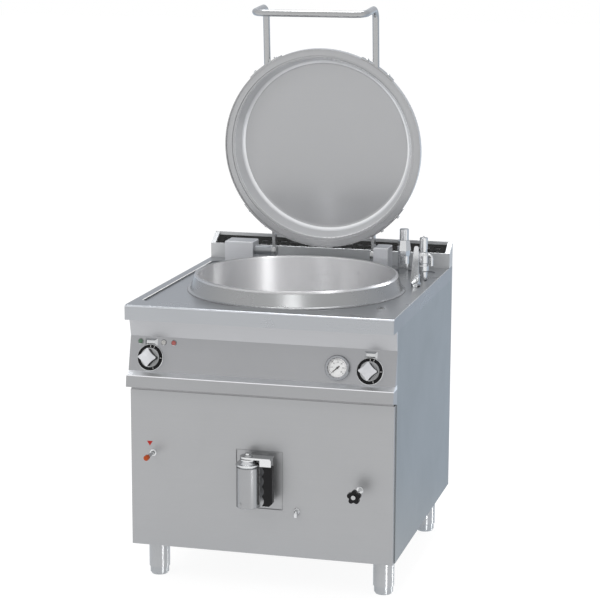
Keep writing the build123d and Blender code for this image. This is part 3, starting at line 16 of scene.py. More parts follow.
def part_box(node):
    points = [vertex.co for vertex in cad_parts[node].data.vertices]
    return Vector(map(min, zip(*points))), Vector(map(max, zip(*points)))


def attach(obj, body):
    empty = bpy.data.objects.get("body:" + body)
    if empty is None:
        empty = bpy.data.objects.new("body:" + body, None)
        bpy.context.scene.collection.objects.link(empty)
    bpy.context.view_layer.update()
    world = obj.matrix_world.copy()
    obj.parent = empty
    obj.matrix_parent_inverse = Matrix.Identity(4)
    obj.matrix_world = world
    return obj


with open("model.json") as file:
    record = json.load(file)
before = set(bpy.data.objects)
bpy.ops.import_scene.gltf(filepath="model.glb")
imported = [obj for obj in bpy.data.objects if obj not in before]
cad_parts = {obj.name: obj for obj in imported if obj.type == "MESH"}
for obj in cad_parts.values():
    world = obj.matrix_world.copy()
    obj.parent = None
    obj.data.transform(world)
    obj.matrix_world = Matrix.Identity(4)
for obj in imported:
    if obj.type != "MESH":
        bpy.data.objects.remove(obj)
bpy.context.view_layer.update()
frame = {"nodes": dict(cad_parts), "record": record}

nodes = frame["nodes"]

# %% [markdown]
# ## Reference planes
# The control fascia leans back, and knobs, lamps and gauge stand square on it. Its slope follows
# from the fascia's own sheet, so one small helper turns a place on it (left or right, and height)
# into a matrix. Everything that is printed or mounted there uses that helper, and a second one
# does the same for the upright front.

# %% The leaning fascia as a coordinate system
FASCIA_RUN = Vector((0.0, 0.0255, 0.0995)).normalized()
FASCIA_OUT = Vector((0.0, -FASCIA_RUN.z, FASCIA_RUN.y))
fascia_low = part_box("control_fascia")[0]
FASCIA_FOOT = Vector((0.0, fascia_low[1], fascia_low[2]))


def on_fascia(x, z, out):
    """Matrix of a place on the fascia: local X to the right, Y up the slope, Z outwards."""
    along = (z - FASCIA_FOOT.z) / FASCIA_RUN.z
    place = FASCIA_FOOT + FASCIA_RUN * along + FASCIA_OUT * out
    turn = Matrix((Vector((1, 0, 0)), FASCIA_RUN, FASCIA_OUT)).transposed().to_4x4()
    return Matrix.Translation(Vector((x, place.y, place.z))) @ turn


def on_front(x, y, z):
    """Matrix of a place on an upright front: local X to the right, Y up, Z forwards."""
    return Matrix.Translation((x, y, z)) @ Matrix.Rotation(math.radians(90), 4, "X")


print("fascia foot", [round(v, 4) for v in FASCIA_FOOT])

# %% [markdown]
# ## Node helpers
# Every finish below is a small node tree. A few helpers keep them readable: they add a node and
# fill its inputs, do a sum, mix two colours, and start a material with its Principled shader.

# %% Helpers for node trees
def add(tree, kind, **inputs):
    """Add a node; keyword names are sockets (spaces as _) or node properties."""
    node = tree.nodes.new(kind)
    for key, value in inputs.items():
        name = key.replace("_", " ")
        if hasattr(node, key):
            setattr(node, key, value)
        elif name in node.inputs:
            set_or_join(tree, node.inputs[name], value)
        else:
            raise KeyError(f"{kind} has no {key}")
    return node


def set_or_join(tree, socket, value):
    """Give a socket a constant, or join it to another socket."""
    if isinstance(value, bpy.types.NodeSocket):
        tree.links.new(value, socket)
    else:
        socket.default_value = value


def maths(tree, operation, a, b=0.0, c=0.0, clamp=False):
    """One Math node; each operand is a number or a socket."""
    node = tree.nodes.new("ShaderNodeMath")
    node.operation = operation
    node.use_clamp = clamp
    for socket, value in zip(node.inputs, (a, b, c)):
        set_or_join(tree, socket, value)
    return node.outputs[0]


def blend_colour(tree, factor, a, b, kind="MIX"):
    """Mix two colours by a factor."""
    node = tree.nodes.new("ShaderNodeMix")
    node.data_type = "RGBA"
    node.blend_type = kind
    set_or_join(tree, node.inputs["Factor"], factor)
    set_or_join(tree, node.inputs["A"], a)
    set_or_join(tree, node.inputs["B"], b)
    return node.outputs["Result"]


def new_material(name):
    """A material holding only a Principled shader and its output."""
    material = bpy.data.materials.new(name)
    material.use_nodes = True
    shader = material.node_tree.nodes["Principled BSDF"]
    return material, material.node_tree, shader


print("helpers ready")

# %% [markdown]
# ## Shared effects as node groups
# Brushing, soft cloudiness from wiping, and fine scratches show on almost every steel piece, only
# in other directions and amounts. Each is built once as a group with named inputs, so a material
# says how much it wants instead of repeating nodes.

# %% Group helper and the brushed grain
def new_group(name, inputs, outputs):
    """A shader node group with (name, type, default) inputs and (name, type) outputs."""
    group = bpy.data.node_groups.new(name, "ShaderNodeTree")
    for label, kind, default in inputs:
        socket = group.interface.new_socket(label, in_out="INPUT", socket_type=kind)
        socket.default_value = default
    for label, kind in outputs:
        group.interface.new_socket(label, in_out="OUTPUT", socket_type=kind)
    start = group.nodes.new("NodeGroupInput")
    end = group.nodes.new("NodeGroupOutput")
    return group, start, end


def scaled_position(tree, scale):
    """Object coordinates multiplied by a scale vector."""
    place = tree.nodes.new("ShaderNodeTexCoord").outputs["Object"]
    stretch = tree.nodes.new("ShaderNodeVectorMath")
    stretch.operation = "MULTIPLY"
    tree.links.new(place, stretch.inputs[0])
    set_or_join(tree, stretch.inputs[1], scale)
    return stretch.outputs["Vector"]


grain, start, end = new_group(
    "brushed_grain",
    [("Stretch", "NodeSocketVector", (6.0, 500.0, 900.0)), ("Contrast", "NodeSocketFloat", 0.5)],
    [("Height", "NodeSocketFloat"), ("Tone", "NodeSocketFloat")])
place = scaled_position(grain, start.outputs["Stretch"])
fine = add(grain, "ShaderNodeTexNoise", Vector=place, Scale=1.0, Detail=4.0, Roughness=0.65)
wide = scaled_position(grain, (1.4, 22.0, 38.0))
broad = add(grain, "ShaderNodeTexNoise", Vector=wide, Scale=1.0, Detail=2.0)
FINE_SHARE = 0.75
broad_part = maths(grain, "MULTIPLY", broad.outputs["Fac"], 1.0 - FINE_SHARE)
streaks = maths(grain, "MULTIPLY_ADD", fine.outputs["Fac"], FINE_SHARE, broad_part)
centred = maths(grain, "SUBTRACT", streaks, 0.5)
tone = maths(grain, "MULTIPLY_ADD", centred, start.outputs["Contrast"], 0.5, clamp=True)
grain.links.new(streaks, end.inputs["Height"])
grain.links.new(tone, end.inputs["Tone"])
print("group", grain.name, "outputs", [s.name for s in grain.interface.items_tree if s.in_out == "OUTPUT"])

# %% Soft cloudiness from wiping
clouds, start, end = new_group(
    "wiped_clouds",
    [("Scale", "NodeSocketFloat", 5.0), ("Amount", "NodeSocketFloat", 0.3)],
    [("Cloud", "NodeSocketFloat")])
soft = add(clouds, "ShaderNodeTexNoise", Vector=scaled_position(clouds, (1.0, 1.0, 1.0)),
           Scale=start.outputs["Scale"], Detail=3.0, Roughness=0.55, Distortion=0.6)
shaped = add(clouds, "ShaderNodeMapRange", Value=soft.outputs["Fac"], From_Min=0.32, From_Max=0.68)
swing = maths(clouds, "SUBTRACT", shaped.outputs["Result"], 0.5)
clouds.links.new(maths(clouds, "MULTIPLY", swing, start.outputs["Amount"]), end.inputs["Cloud"])
print("group", clouds.name)

# %% Fine scratches
scratches, start, end = new_group(
    "fine_scratches",
    [("Scale", "NodeSocketFloat", 14.0), ("Thinness", "NodeSocketFloat", 0.012)],
    [("Scratch", "NodeSocketFloat")])
bent = add(scratches, "ShaderNodeTexNoise", Vector=scaled_position(scratches, (3.0, 3.0, 3.0)), Scale=2.0)
bend = scratches.nodes.new("ShaderNodeVectorMath")
bend.operation = "MULTIPLY_ADD"
scratches.links.new(bent.outputs["Color"], bend.inputs[0])
bend.inputs[1].default_value = (0.15, 0.15, 0.15)
scratches.links.new(scaled_position(scratches, (1.0, 1.3, 0.8)), bend.inputs[2])
cells = scratches.nodes.new("ShaderNodeTexVoronoi")
cells.feature = "DISTANCE_TO_EDGE"
scratches.links.new(bend.outputs["Vector"], cells.inputs["Vector"])
scratches.links.new(start.outputs["Scale"], cells.inputs["Scale"])
SCRATCHED = 0.6
thin = maths(scratches, "LESS_THAN", cells.outputs["Distance"], start.outputs["Thinness"])
patchy = add(scratches, "ShaderNodeTexNoise", Vector=scaled_position(scratches, (9.0, 9.0, 9.0)), Scale=2.0)
keep = maths(scratches, "GREATER_THAN", patchy.outputs["Fac"], SCRATCHED)
scratches.links.new(maths(scratches, "MULTIPLY", thin, keep), end.inputs["Scratch"])
print("group", scratches.name)

# %% A mask that splits a piece along a plane
split, start, end = new_group(
    "plane_mask",
    [("Point", "NodeSocketVector", (0.0, 0.0, 0.0)), ("Normal", "NodeSocketVector", (1.0, 0.0, 0.0))],
    [("Beyond", "NodeSocketFloat")])
away = split.nodes.new("ShaderNodeVectorMath")
away.operation = "SUBTRACT"
split.links.new(scaled_position(split, (1.0, 1.0, 1.0)), away.inputs[0])
split.links.new(start.outputs["Point"], away.inputs[1])
side = split.nodes.new("ShaderNodeVectorMath")
side.operation = "DOT_PRODUCT"
split.links.new(away.outputs["Vector"], side.inputs[0])
split.links.new(start.outputs["Normal"], side.inputs[1])
split.links.new(maths(split, "GREATER_THAN", side.outputs["Value"], 0.0), end.inputs["Beyond"])
print("group", split.name)

# %% [markdown]
# ## Steel
# Catering steel is one alloy with a few surfaces: brushed sheet with grain along the sheet's long
# side, satin pressings, and polished bar. One recipe takes a colour, a grain direction and a
# roughness. The grain drives a tiny bump and the roughness, and clouds shift both a little.

# %% The steel recipe
DARKEST, LIGHTEST = 0.86, 1.10
WIPE_TONE, WIPE_ROUGH = 0.6, 0.22
GRAIN_ROUGH = 0.12
GRAIN_DEPTH = 0.0004
COAT_ROUGH = 0.12
QUARTER_TURN = 0.25
LATHE_AXIS = (0.01, 0.0, 1.0)


def use_group(tree, group, **inputs):
    """Place a node group and fill its inputs."""
    node = tree.nodes.new("ShaderNodeGroup")
    node.node_tree = group
    for key, value in inputs.items():
        set_or_join(tree, node.inputs[key], value)
    return node


def steel(name, colour, stretch, roughness, contrast=0.35, bump=0.04, cloud=0.3, metallic=0.8, scratch=0.12,
          spun=0.0, edge_on_shade=0.0, coat=0.0, painted_light_zones=()):
    """Steel with directed grain, wiped clouds and a few fine scratches.

    spun smears highlights across the turning marks, rim paints shade where the surface is seen edge
    on, and each zone (point, normal, gain) paints light or shade by making the metal beyond a plane
    lighter or darker. A coat adds the crisp lights that a polished pressing shows over its satin.
    """
    material, tree, shader = new_material(name)
    streak = use_group(tree, grain, Stretch=stretch, Contrast=contrast)
    wipe = use_group(tree, clouds, Scale=4.0, Amount=cloud)
    nick = use_group(tree, scratches)
    dark = tuple(c * DARKEST for c in colour) + (1.0,)
    light = tuple(min(1.0, c * LIGHTEST) for c in colour) + (1.0,)
    wiped = maths(tree, "MULTIPLY", wipe.outputs["Cloud"], WIPE_TONE)
    level = maths(tree, "ADD", streak.outputs["Tone"], wiped, clamp=True)
    base = blend_colour(tree, level, dark, light)
    base = blend_colour(tree, maths(tree, "MULTIPLY", nick.outputs["Scratch"], scratch), base, light)
    # Each zone paints light or shade: the colour beyond its plane is multiplied by its gain.
    for point, normal, gain in painted_light_zones:
        beyond = use_group(tree, split, Point=point, Normal=normal).outputs["Beyond"]
        gained = maths(tree, "MULTIPLY_ADD", beyond, gain - 1.0, 1.0)
        base = blend_colour(tree, 1.0, base, gained, "MULTIPLY")
    if edge_on_shade:
        # Painted shade: the colour darkens where the surface is seen edge on.
        facing = tree.nodes.new("ShaderNodeLayerWeight").outputs["Facing"]
        edge_on_shaded = maths(tree, "MULTIPLY_ADD", facing, -edge_on_shade, 1.0, clamp=True)
        base = blend_colour(tree, 1.0, base, edge_on_shaded, "MULTIPLY")
    tree.links.new(base, shader.inputs["Base Color"])
    rough = maths(tree, "MULTIPLY_ADD", streak.outputs["Tone"], GRAIN_ROUGH, roughness - GRAIN_ROUGH / 2)
    smeared = maths(tree, "MULTIPLY", wipe.outputs["Cloud"], WIPE_ROUGH)
    tree.links.new(maths(tree, "ADD", rough, smeared, clamp=True), shader.inputs["Roughness"])
    relief = add(tree, "ShaderNodeBump", Strength=bump, Distance=GRAIN_DEPTH, Height=streak.outputs["Height"])
    tree.links.new(relief.outputs["Normal"], shader.inputs["Normal"])
    shader.inputs["Metallic"].default_value = metallic
    shader.inputs["Coat Weight"].default_value = coat
    shader.inputs["Coat Roughness"].default_value = COAT_ROUGH
    if spun:
        shader.inputs["Anisotropic"].default_value = spun
        shader.inputs["Anisotropic Rotation"].default_value = QUARTER_TURN
        outward = tree.nodes.new("ShaderNodeNewGeometry").outputs["Normal"]
        around = tree.nodes.new("ShaderNodeVectorMath")
        around.operation = "CROSS_PRODUCT"
        tree.links.new(outward, around.inputs[0])
        around.inputs[1].default_value = LATHE_AXIS
        tree.links.new(around.outputs["Vector"], shader.inputs["Tangent"])
    return material


print("steel recipe ready")

# %% [markdown]
# ### Zones of painted light and shade
# Each zone paints light or shade into the steel's colour: the metal beyond a plane is made lighter
# or darker where a face turns towards the lamps or away from them, and a few zones paint a
# highlight. A zone is a point, a direction and the gain of the metal beyond that point, and each
# value below is set until the fold reads well under the lamps.

# %% Zones of painted light and shade where a sheet turns
UP, RIGHT, FRONT = (0.0, 0.0, 1.0), (1.0, 0.0, 0.0), (0.0, -1.0, 0.0)
SKIN = 0.001
NOSE_R, NOSE_RISE = 0.007, 0.0058
NOSE_TILT = math.radians(35)
FASCIA_BEND_Z, SHELF_Z, RING_Z = 0.7545, 0.6425, 0.7325
# Gains of the worktop's painted light and shade: front skirt lighter, nose highlight, right skirt darker.
SKIRT_LIGHT_GAIN, NOSE_HIGHLIGHT_GAIN, SIDE_SHADE_GAIN = 1.46, 1.8, 0.85
LID_POINT = Vector((0.0105, 0.313, 0.9045))
LID_IN = Vector((0.0, 0.9969, 0.0785))
# Gains of the lid liner's painted light: the wall lighter, a painted highlight ring at the inner corner, and
# the disc back to its plain tone.
LID_GAINS = {0.002: 1.8, 0.037: 1.2, 0.0478: 0.463}


def painted_light_above(height, gain):
    """Zone of painted light or shade on the metal higher than a height."""
    return ((0.0, 0.0, height), UP, gain)


def roof(node):
    """Height of a node's highest point."""
    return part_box(node)[1][2]


top_low, top_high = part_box("worktop")
# The nose's rounding beyond this tilted plane gets a painted highlight.
nose_out = (0.0, -math.sin(NOSE_TILT), math.cos(NOSE_TILT))
nose_cut = Vector((0.0, top_low[1] + NOSE_R, top_high[2] - NOSE_R)) + Vector(nose_out) * NOSE_RISE
# On the worktop the front skirt is painted lighter, the nose gets its painted highlight and the right skirt
# is painted darker.
worktop_painted_light = [((0.0, top_low[1] + SKIN, 0.0), FRONT, SKIRT_LIGHT_GAIN), (nose_cut, nose_out, NOSE_HIGHLIGHT_GAIN),
             ((top_high[0] - SKIN, 0.0, 0.0), RIGHT, SIDE_SHADE_GAIN)]
# The lid liner's painted light, one zone for each depth.
liner_painted_light = [(LID_POINT + LID_IN * depth, LID_IN, gain) for depth, gain in LID_GAINS.items()]
print("zones on the worktop", len(worktop_painted_light), "and in the lid", len(liner_painted_light))

# %% The steels
ALONG_X = (5.0, 700.0, 700.0)
ALONG_Y = (700.0, 5.0, 700.0)
ALONG_Z = (700.0, 700.0, 5.0)
FINE = (160.0, 160.0, 160.0)
SHEET = dict(roughness=0.36, metallic=0.7)
PRESSED = dict(colour=(0.44, 0.445, 0.455), stretch=ALONG_X, roughness=0.22, contrast=0.15, bump=0.01,
               cloud=0.08, metallic=0.4, scratch=0.05, coat=0.6)
CHROMED = dict(colour=(0.68, 0.69, 0.70), stretch=FINE, roughness=0.12, contrast=0.2, bump=0.01, cloud=0.15)
# The sheet steels are one metal, but the side, the top, the fascia and the collar get darker colours and the
# rear upstand, the hinge boxes and the pan lighter ones than the front: shaded and lit copies, painted shade
# and light.
RECIPES = {
    "steel_front": dict(SHEET, colour=(0.425, 0.43, 0.44), stretch=ALONG_X),
    "steel_side": dict(SHEET, colour=(0.272, 0.292, 0.303), stretch=ALONG_Y),
    "steel_top": dict(colour=(0.30, 0.31, 0.325), stretch=ALONG_X, roughness=0.30, metallic=0.75,
                      painted_light_zones=worktop_painted_light),
    # The fascia's colour is a shaded copy, and its upright upper band is painted lighter.
    "steel_fascia": dict(SHEET, colour=(0.405, 0.41, 0.425), stretch=ALONG_X,
                         painted_light_zones=[painted_light_above(FASCIA_BEND_Z, 1.24)]),
    # The trim's shelf is painted lighter against the shade under the fascia.
    "steel_trim": dict(SHEET, colour=(0.415, 0.42, 0.43), stretch=ALONG_X, painted_light_zones=[painted_light_above(SHELF_Z, 2.3)]),
    # The rear upstand's colour is a lit copy against the shade of lid and pan, and its top flange is painted
    # darker.
    "steel_rear": dict(colour=(0.58, 0.59, 0.60), stretch=ALONG_X, roughness=0.38, metallic=0.4,
                       painted_light_zones=[painted_light_above(roof("rear_upstand") - 0.0015, 0.62)]),
    "steel_collar": dict(colour=(0.34, 0.345, 0.35), stretch=ALONG_X, roughness=0.26, contrast=0.15,
                         bump=0.01, scratch=0.05),
    # The pan's colour is a lit copy against the shade inside it, and its rim is painted darker against a
    # bright highlight.
    "steel_pan": dict(colour=(0.74, 0.74, 0.75), stretch=ALONG_Z, roughness=0.42, cloud=0.2, metallic=0.85,
                      spun=0.93, painted_light_zones=[painted_light_above(roof("kettle_pan") - 0.002, 0.62)]),
    "steel_lid": PRESSED,
    "steel_liner": dict(PRESSED, painted_light_zones=liner_painted_light),
    # The hinge boxes' colour is a lit copy, and their tops are painted darker.
    "steel_box": dict(colour=(0.70, 0.71, 0.74), stretch=ALONG_X, roughness=0.34, metallic=0.4,
                      painted_light_zones=[painted_light_above(roof("hinge_boxes") - SKIN, 0.5)]),
    "steel_polished": dict(colour=(0.43, 0.435, 0.44), stretch=FINE, roughness=0.18, contrast=0.3, bump=0.02),
    "steel_leg": dict(colour=(0.47, 0.475, 0.48), stretch=ALONG_Z, roughness=0.32, spun=0.93),
    "steel_frame": dict(colour=(0.34, 0.34, 0.34), stretch=FINE, roughness=0.45, bump=0.08),
    "foot_steel": dict(colour=(0.45, 0.46, 0.47), stretch=FINE, roughness=0.34, spun=0.93),
    "gauge_grey": dict(colour=(0.36, 0.37, 0.39), stretch=FINE, roughness=0.26),
    # The tap's barrel is a darker copy of the chrome, a painted reflection of the grey panel round it.
    "steel_tap": dict(colour=(0.34, 0.345, 0.355), stretch=FINE, roughness=0.16, contrast=0.25, bump=0.01),
    "chrome_trim": CHROMED,
    # The top of the trim rings is painted darker.
    "chrome_rings": dict(CHROMED, painted_light_zones=[painted_light_above(RING_Z, 0.45)]),
    # The valves' chrome gets painted shade where it is seen edge on.
    "chrome_valve": dict(colour=(0.74, 0.75, 0.76), stretch=FINE, roughness=0.14, contrast=0.3, bump=0.02,
                         cloud=0.25, metallic=0.95, edge_on_shade=0.6),
}
steels = {name: steel(name, **recipe) for name, recipe in RECIPES.items()}
print("steels", len(steels))

# %% [markdown]
# ## Plastics, glass, insulation and paint
# The knobs, the tap's grip and the star knob are glossy black mouldings with a faint orange-peel
# skin. The wrap of the jacket is woven. The gauge window is clear glass, and it lets light through
# to the dial without a shadow.

# %% Moulded plastics and paints
PEEL_SCALE = (90.0, 90.0, 90.0)
PEEL_ROUGH = 0.12


def moulded(name, colour, roughness, bump=0.12, specular=0.3):
    """Moulded or painted skin with faint orange peel and uneven gloss."""
    material, tree, shader = new_material(name)
    place = scaled_position(tree, PEEL_SCALE)
    peel = add(tree, "ShaderNodeTexNoise", Vector=place, Scale=6.0, Detail=2.0)
    wipe = use_group(tree, clouds, Scale=9.0, Amount=0.3)
    dark = tuple(c * 0.8 for c in colour) + (1.0,)
    light = tuple(min(1.0, c * 1.2 + 0.001) for c in colour) + (1.0,)
    level = maths(tree, "ADD", peel.outputs["Fac"], wipe.outputs["Cloud"], clamp=True)
    tree.links.new(blend_colour(tree, level, dark, light), shader.inputs["Base Color"])
    rough = maths(tree, "MULTIPLY_ADD", level, PEEL_ROUGH, roughness - 0.05)
    tree.links.new(rough, shader.inputs["Roughness"])
    relief = add(tree, "ShaderNodeBump", Strength=bump, Distance=0.0002, Height=peel.outputs["Fac"])
    tree.links.new(relief.outputs["Normal"], shader.inputs["Normal"])
    shader.inputs["Specular IOR Level"].default_value = specular
    return material


paints = {
    "plastic_black": moulded("plastic_black", (0.004, 0.004, 0.005), 0.26, specular=0.2),
    "plastic_dark": moulded("plastic_dark", (0.05, 0.05, 0.055), 0.4),
    "grille_black": moulded("grille_black", (0.006, 0.006, 0.006), 0.8, bump=0.05),
    "gauge_white": moulded("gauge_white", (0.98, 0.98, 0.98), 0.45, bump=0.03),
    "needle_black": moulded("needle_black", (0.012, 0.012, 0.012), 0.4, bump=0.03),
    # White print for the dial marks, also used for a painted highlight on the basin's fold.
    "print_white_and_highlight": moulded("print_white_and_highlight", (0.82, 0.82, 0.81), 0.5, bump=0.03),
    "print_black": moulded("print_black", (0.02, 0.02, 0.02), 0.5, bump=0.03),
    # Grey for the joint round the tap's window, also used for painted shade in the collar's crease.
    "joint_grey_and_shade": moulded("joint_grey_and_shade", (0.20, 0.20, 0.21), 0.5, bump=0.03),
    # Silver print for the dials and the star cap, also used for a painted highlight on the worktop's right
    # edge.
    "print_silver_and_highlight": moulded("print_silver_and_highlight", (0.62, 0.63, 0.64), 0.35, bump=0.03),
    # Grey for painted shade in the gap over the door.
    "gap_shade_grey": moulded("gap_shade_grey", (0.50, 0.50, 0.51), 0.6, bump=0.05),
    "print_red": moulded("print_red", (0.55, 0.03, 0.02), 0.45, bump=0.03),
}
print("paints", len(paints))

# %% Woven wrap and clear glass
wrap, tree, shader = new_material("insulation")
place = scaled_position(tree, (1.0, 1.0, 1.0))
weave = add(tree, "ShaderNodeTexWave", Vector=place, Scale=150.0, Distortion=1.0)
WRAP_DARK, WRAP_PALE = (0.42, 0.40, 0.33, 1), (0.62, 0.60, 0.50, 1)
tree.links.new(blend_colour(tree, weave.outputs["Fac"], WRAP_DARK, WRAP_PALE), shader.inputs["Base Color"])
relief = add(tree, "ShaderNodeBump", Strength=0.4, Distance=0.0008, Height=weave.outputs["Fac"])
tree.links.new(relief.outputs["Normal"], shader.inputs["Normal"])
shader.inputs["Roughness"].default_value = 0.9

window, tree, shader = new_material("gauge_glass")
smear = use_group(tree, clouds, Scale=30.0, Amount=0.05)
tree.links.new(maths(tree, "ADD", smear.outputs["Cloud"], 0.04, clamp=True), shader.inputs["Roughness"])
shader.inputs["Base Color"].default_value = (1.0, 1.0, 1.0, 1.0)
shader.inputs["Transmission Weight"].default_value = 1.0
shader.inputs["IOR"].default_value = 1.45
clear = tree.nodes.new("ShaderNodeBsdfTransparent")
through = tree.nodes.new("ShaderNodeMixShader")
tree.links.new(tree.nodes.new("ShaderNodeLightPath").outputs["Is Shadow Ray"], through.inputs[0])
tree.links.new(shader.outputs[0], through.inputs[1])
tree.links.new(clear.outputs[0], through.inputs[2])
tree.links.new(through.outputs[0], tree.nodes["Material Output"].inputs["Surface"])
print("wrap and window ready")

# %% [markdown]
# ## Two-tone pieces
# A knob is one moulding with a bright cap, and the reset rod is chrome with a red end. Both halves
# are in the same node, so the finish changes across a plane: the mask group gives 0 on one side
# and 1 on the other, and mixes base colour, roughness and metallic. The three lamp lenses are one
# node too, and two such planes part their colours.

# %% A finish that changes across a plane
def two_tone(name, point, normal, near, far):
    """Principled shader whose colour, roughness and metallic change beyond a plane."""
    material, tree, shader = new_material(name)
    beyond = use_group(tree, split, Point=point, Normal=normal).outputs["Beyond"]
    wipe = use_group(tree, clouds, Scale=20.0, Amount=0.4)
    peel = add(tree, "ShaderNodeTexNoise", Vector=scaled_position(tree, (400.0, 400.0, 400.0)), Scale=1.0)
    base = blend_colour(tree, beyond, near[0] + (1.0,), far[0] + (1.0,))
    shade = maths(tree, "MULTIPLY_ADD", wipe.outputs["Cloud"], 0.5, 0.9)
    tree.links.new(blend_colour(tree, 1.0, base, shade, "MULTIPLY"), shader.inputs["Base Color"])
    rough = maths(tree, "MULTIPLY_ADD", beyond, far[1] - near[1], near[1])
    tree.links.new(maths(tree, "MULTIPLY_ADD", peel.outputs["Fac"], 0.06, rough), shader.inputs["Roughness"])
    metal = maths(tree, "MULTIPLY_ADD", beyond, far[2] - near[2], near[2])
    tree.links.new(metal, shader.inputs["Metallic"])
    relief = add(tree, "ShaderNodeBump", Strength=0.04, Distance=0.0002, Height=peel.outputs["Fac"])
    tree.links.new(relief.outputs["Normal"], shader.inputs["Normal"])
    shader.inputs["Specular IOR Level"].default_value = 0.2
    return material


# Each tone is a colour, a roughness and a metallic value.
BLACK = ((0.004, 0.004, 0.005), 0.28, 0.0)
SILVER = ((0.86, 0.87, 0.90), 0.30, 0.5)
CHROME = ((0.66, 0.67, 0.68), 0.12, 1.0)
ORANGE_RED = ((0.62, 0.10, 0.02), 0.3, 0.0)
KNOB_X = {"knob_left": -0.335, "knob_right": 0.324}
KNOB_Z = 0.694
CAP_OUT = 0.0335
for name, x in KNOB_X.items():
    cap_plane = on_fascia(x, KNOB_Z, CAP_OUT - 0.0001).translation
    paints[name] = two_tone(name, cap_plane, FASCIA_OUT, BLACK, SILVER)
TIP_LENGTH = 0.016
tip_start = (0.0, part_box("reset_rod")[0][1] + TIP_LENGTH, 0.0)
paints["reset_rod"] = two_tone("reset_rod", tip_start, FRONT, CHROME, ORANGE_RED)
print("two-tone", sorted(KNOB_X), "and reset_rod")

# %% Lamp lenses: green, white and red
GREEN_END, WHITE_END = (-0.33, 0.0, 0.0), (-0.28, 0.0, 0.0)
LENS_GREEN, LENS_WHITE, LENS_RED = (0.06, 0.15, 0.08, 1), (0.60, 0.59, 0.57, 1), (0.46, 0.07, 0.06, 1)
lens, tree, shader = new_material("lamp_lens")
after_green = use_group(tree, split, Point=GREEN_END, Normal=RIGHT).outputs["Beyond"]
after_white = use_group(tree, split, Point=WHITE_END, Normal=RIGHT).outputs["Beyond"]
haze = use_group(tree, clouds, Scale=60.0, Amount=0.3)
hue = blend_colour(tree, after_green, LENS_GREEN, LENS_WHITE)
hue = blend_colour(tree, after_white, hue, LENS_RED)
pale = maths(tree, "ADD", maths(tree, "MULTIPLY", haze.outputs["Cloud"], 0.2), 0.06, clamp=True)
tree.links.new(blend_colour(tree, pale, hue, (1, 1, 1, 1)), shader.inputs["Base Color"])
shader.inputs["Roughness"].default_value = 0.25
print("lamp lens ready")

# %% Give every node its finish
# A node wears the finish of its own name if there is one, else its entry here, else its slot's.
OWN_FINISH = {
    "tap_body": "steel_tap", "rear_upstand": "steel_rear", "lid_liner": "steel_liner",
    "trim_rail": "steel_trim", "control_fascia": "steel_fascia", "hinge_boxes": "steel_box",
    "pan_collar": "steel_collar", "lid_pivots": "steel_top", "trim_rings": "chrome_rings",
    "cock_lever": "chrome_trim", "level_valve": "chrome_trim"}
finishes = {**steels, **paints, "insulation": wrap, "gauge_glass": window, "lamp_lens": lens}
slot_of = {part["node"]: part["material_slot"] for part in frame["record"]["subparts"]}
slot_of.update(OWN_FINISH)
for name, node in nodes.items():
    finish = finishes.get(name) or finishes[slot_of[name]]
    node.data.materials.clear()
    node.data.materials.append(finish)
print("dressed", len(nodes), "nodes")

# %% [markdown]
# ## Printed marks
# A maker prints a few marks on the dials, numbers on the gauge and a small pointer on the door.
# They are thin meshes laid just proud of the surface that carries them, so that they keep their
# edge from any side, and each rides on the body it is printed on.

# %% A helper for flat marks and one for finished pieces
LIFT = 0.00015
MARK_T = 0.0002


def finish_piece(piece, material, body):
    """Link a new piece, give it its material, and let it ride on a body."""
    bpy.context.scene.collection.objects.link(piece)
    piece.data.materials.append(material)
    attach(piece, body)
    return piece


def flat_mark(name, outline, matrix, thickness=MARK_T):
    """Thin plate from an outline in the matrix's own plane."""
    low = [matrix @ Vector((x, y, LIFT)) for x, y in outline]
    high = [matrix @ Vector((x, y, LIFT + thickness)) for x, y in outline]
    count = len(outline)
    faces = [tuple(range(count, 2 * count)), tuple(reversed(range(count)))]
    for i in range(count):
        j = (i + 1) % count
        faces.append((i, j, count + j, count + i))
    mesh = bpy.data.meshes.new(name)
    mesh.from_pydata([tuple(v) for v in low + high], [], faces)
    mesh.update()
    return bpy.data.objects.new(name, mesh)


def circle(radius, corners=48):
    """Corners of a circle about the local origin."""
    turns = [2 * math.pi * i / corners for i in range(corners)]
    return [(radius * math.cos(a), radius * math.sin(a)) for a in turns]


def block(half_x, half_y, x=0.0, y=0.0):
    """Corners of a rectangle about a place."""
    return [(x - half_x, y - half_y), (x + half_x, y - half_y),
            (x + half_x, y + half_y), (x - half_x, y + half_y)]


def turned_bar(radius_in, radius_out, angle, width):
    """Corners of a radial bar at an angle given in degrees from the local X axis."""
    a = math.radians(angle)
    along = Vector((math.cos(a), math.sin(a)))
    across = Vector((-math.sin(a), math.cos(a))) * width / 2
    return [tuple(along * radius_in - across), tuple(along * radius_out - across),
            tuple(along * radius_out + across), tuple(along * radius_in + across)]


print("mark helpers ready")

# %% Marks on the dials
DIAL_OUT = 0.0065
DIAL_MARKS = (90, 70, 0, -68)
MARK_IN, MARK_OUT, MARK_W = 0.0300, 0.0358, 0.0016
DISC_R = 0.0285
for name, x in KNOB_X.items():
    dial = on_fascia(x, KNOB_Z, DIAL_OUT)
    for number, angle in enumerate(DIAL_MARKS):
        bar = turned_bar(MARK_IN, MARK_OUT, angle, MARK_W)
        mark = flat_mark(f"{name}_mark_{number}", bar, dial)
        finish_piece(mark, paints["print_white_and_highlight"], name)
    disc = flat_mark(f"{name}_inner_disc", circle(DISC_R), dial)
    finish_piece(disc, paints["print_silver_and_highlight"], name)
print("dial marks", len(DIAL_MARKS) * len(KNOB_X))

# %% [markdown]
# ### The gauge
# A pressure gauge has a fine scale with longer strokes and numbers at the whole values. Strokes
# come from a loop over the sweep, and numbers are small text objects turned into place.

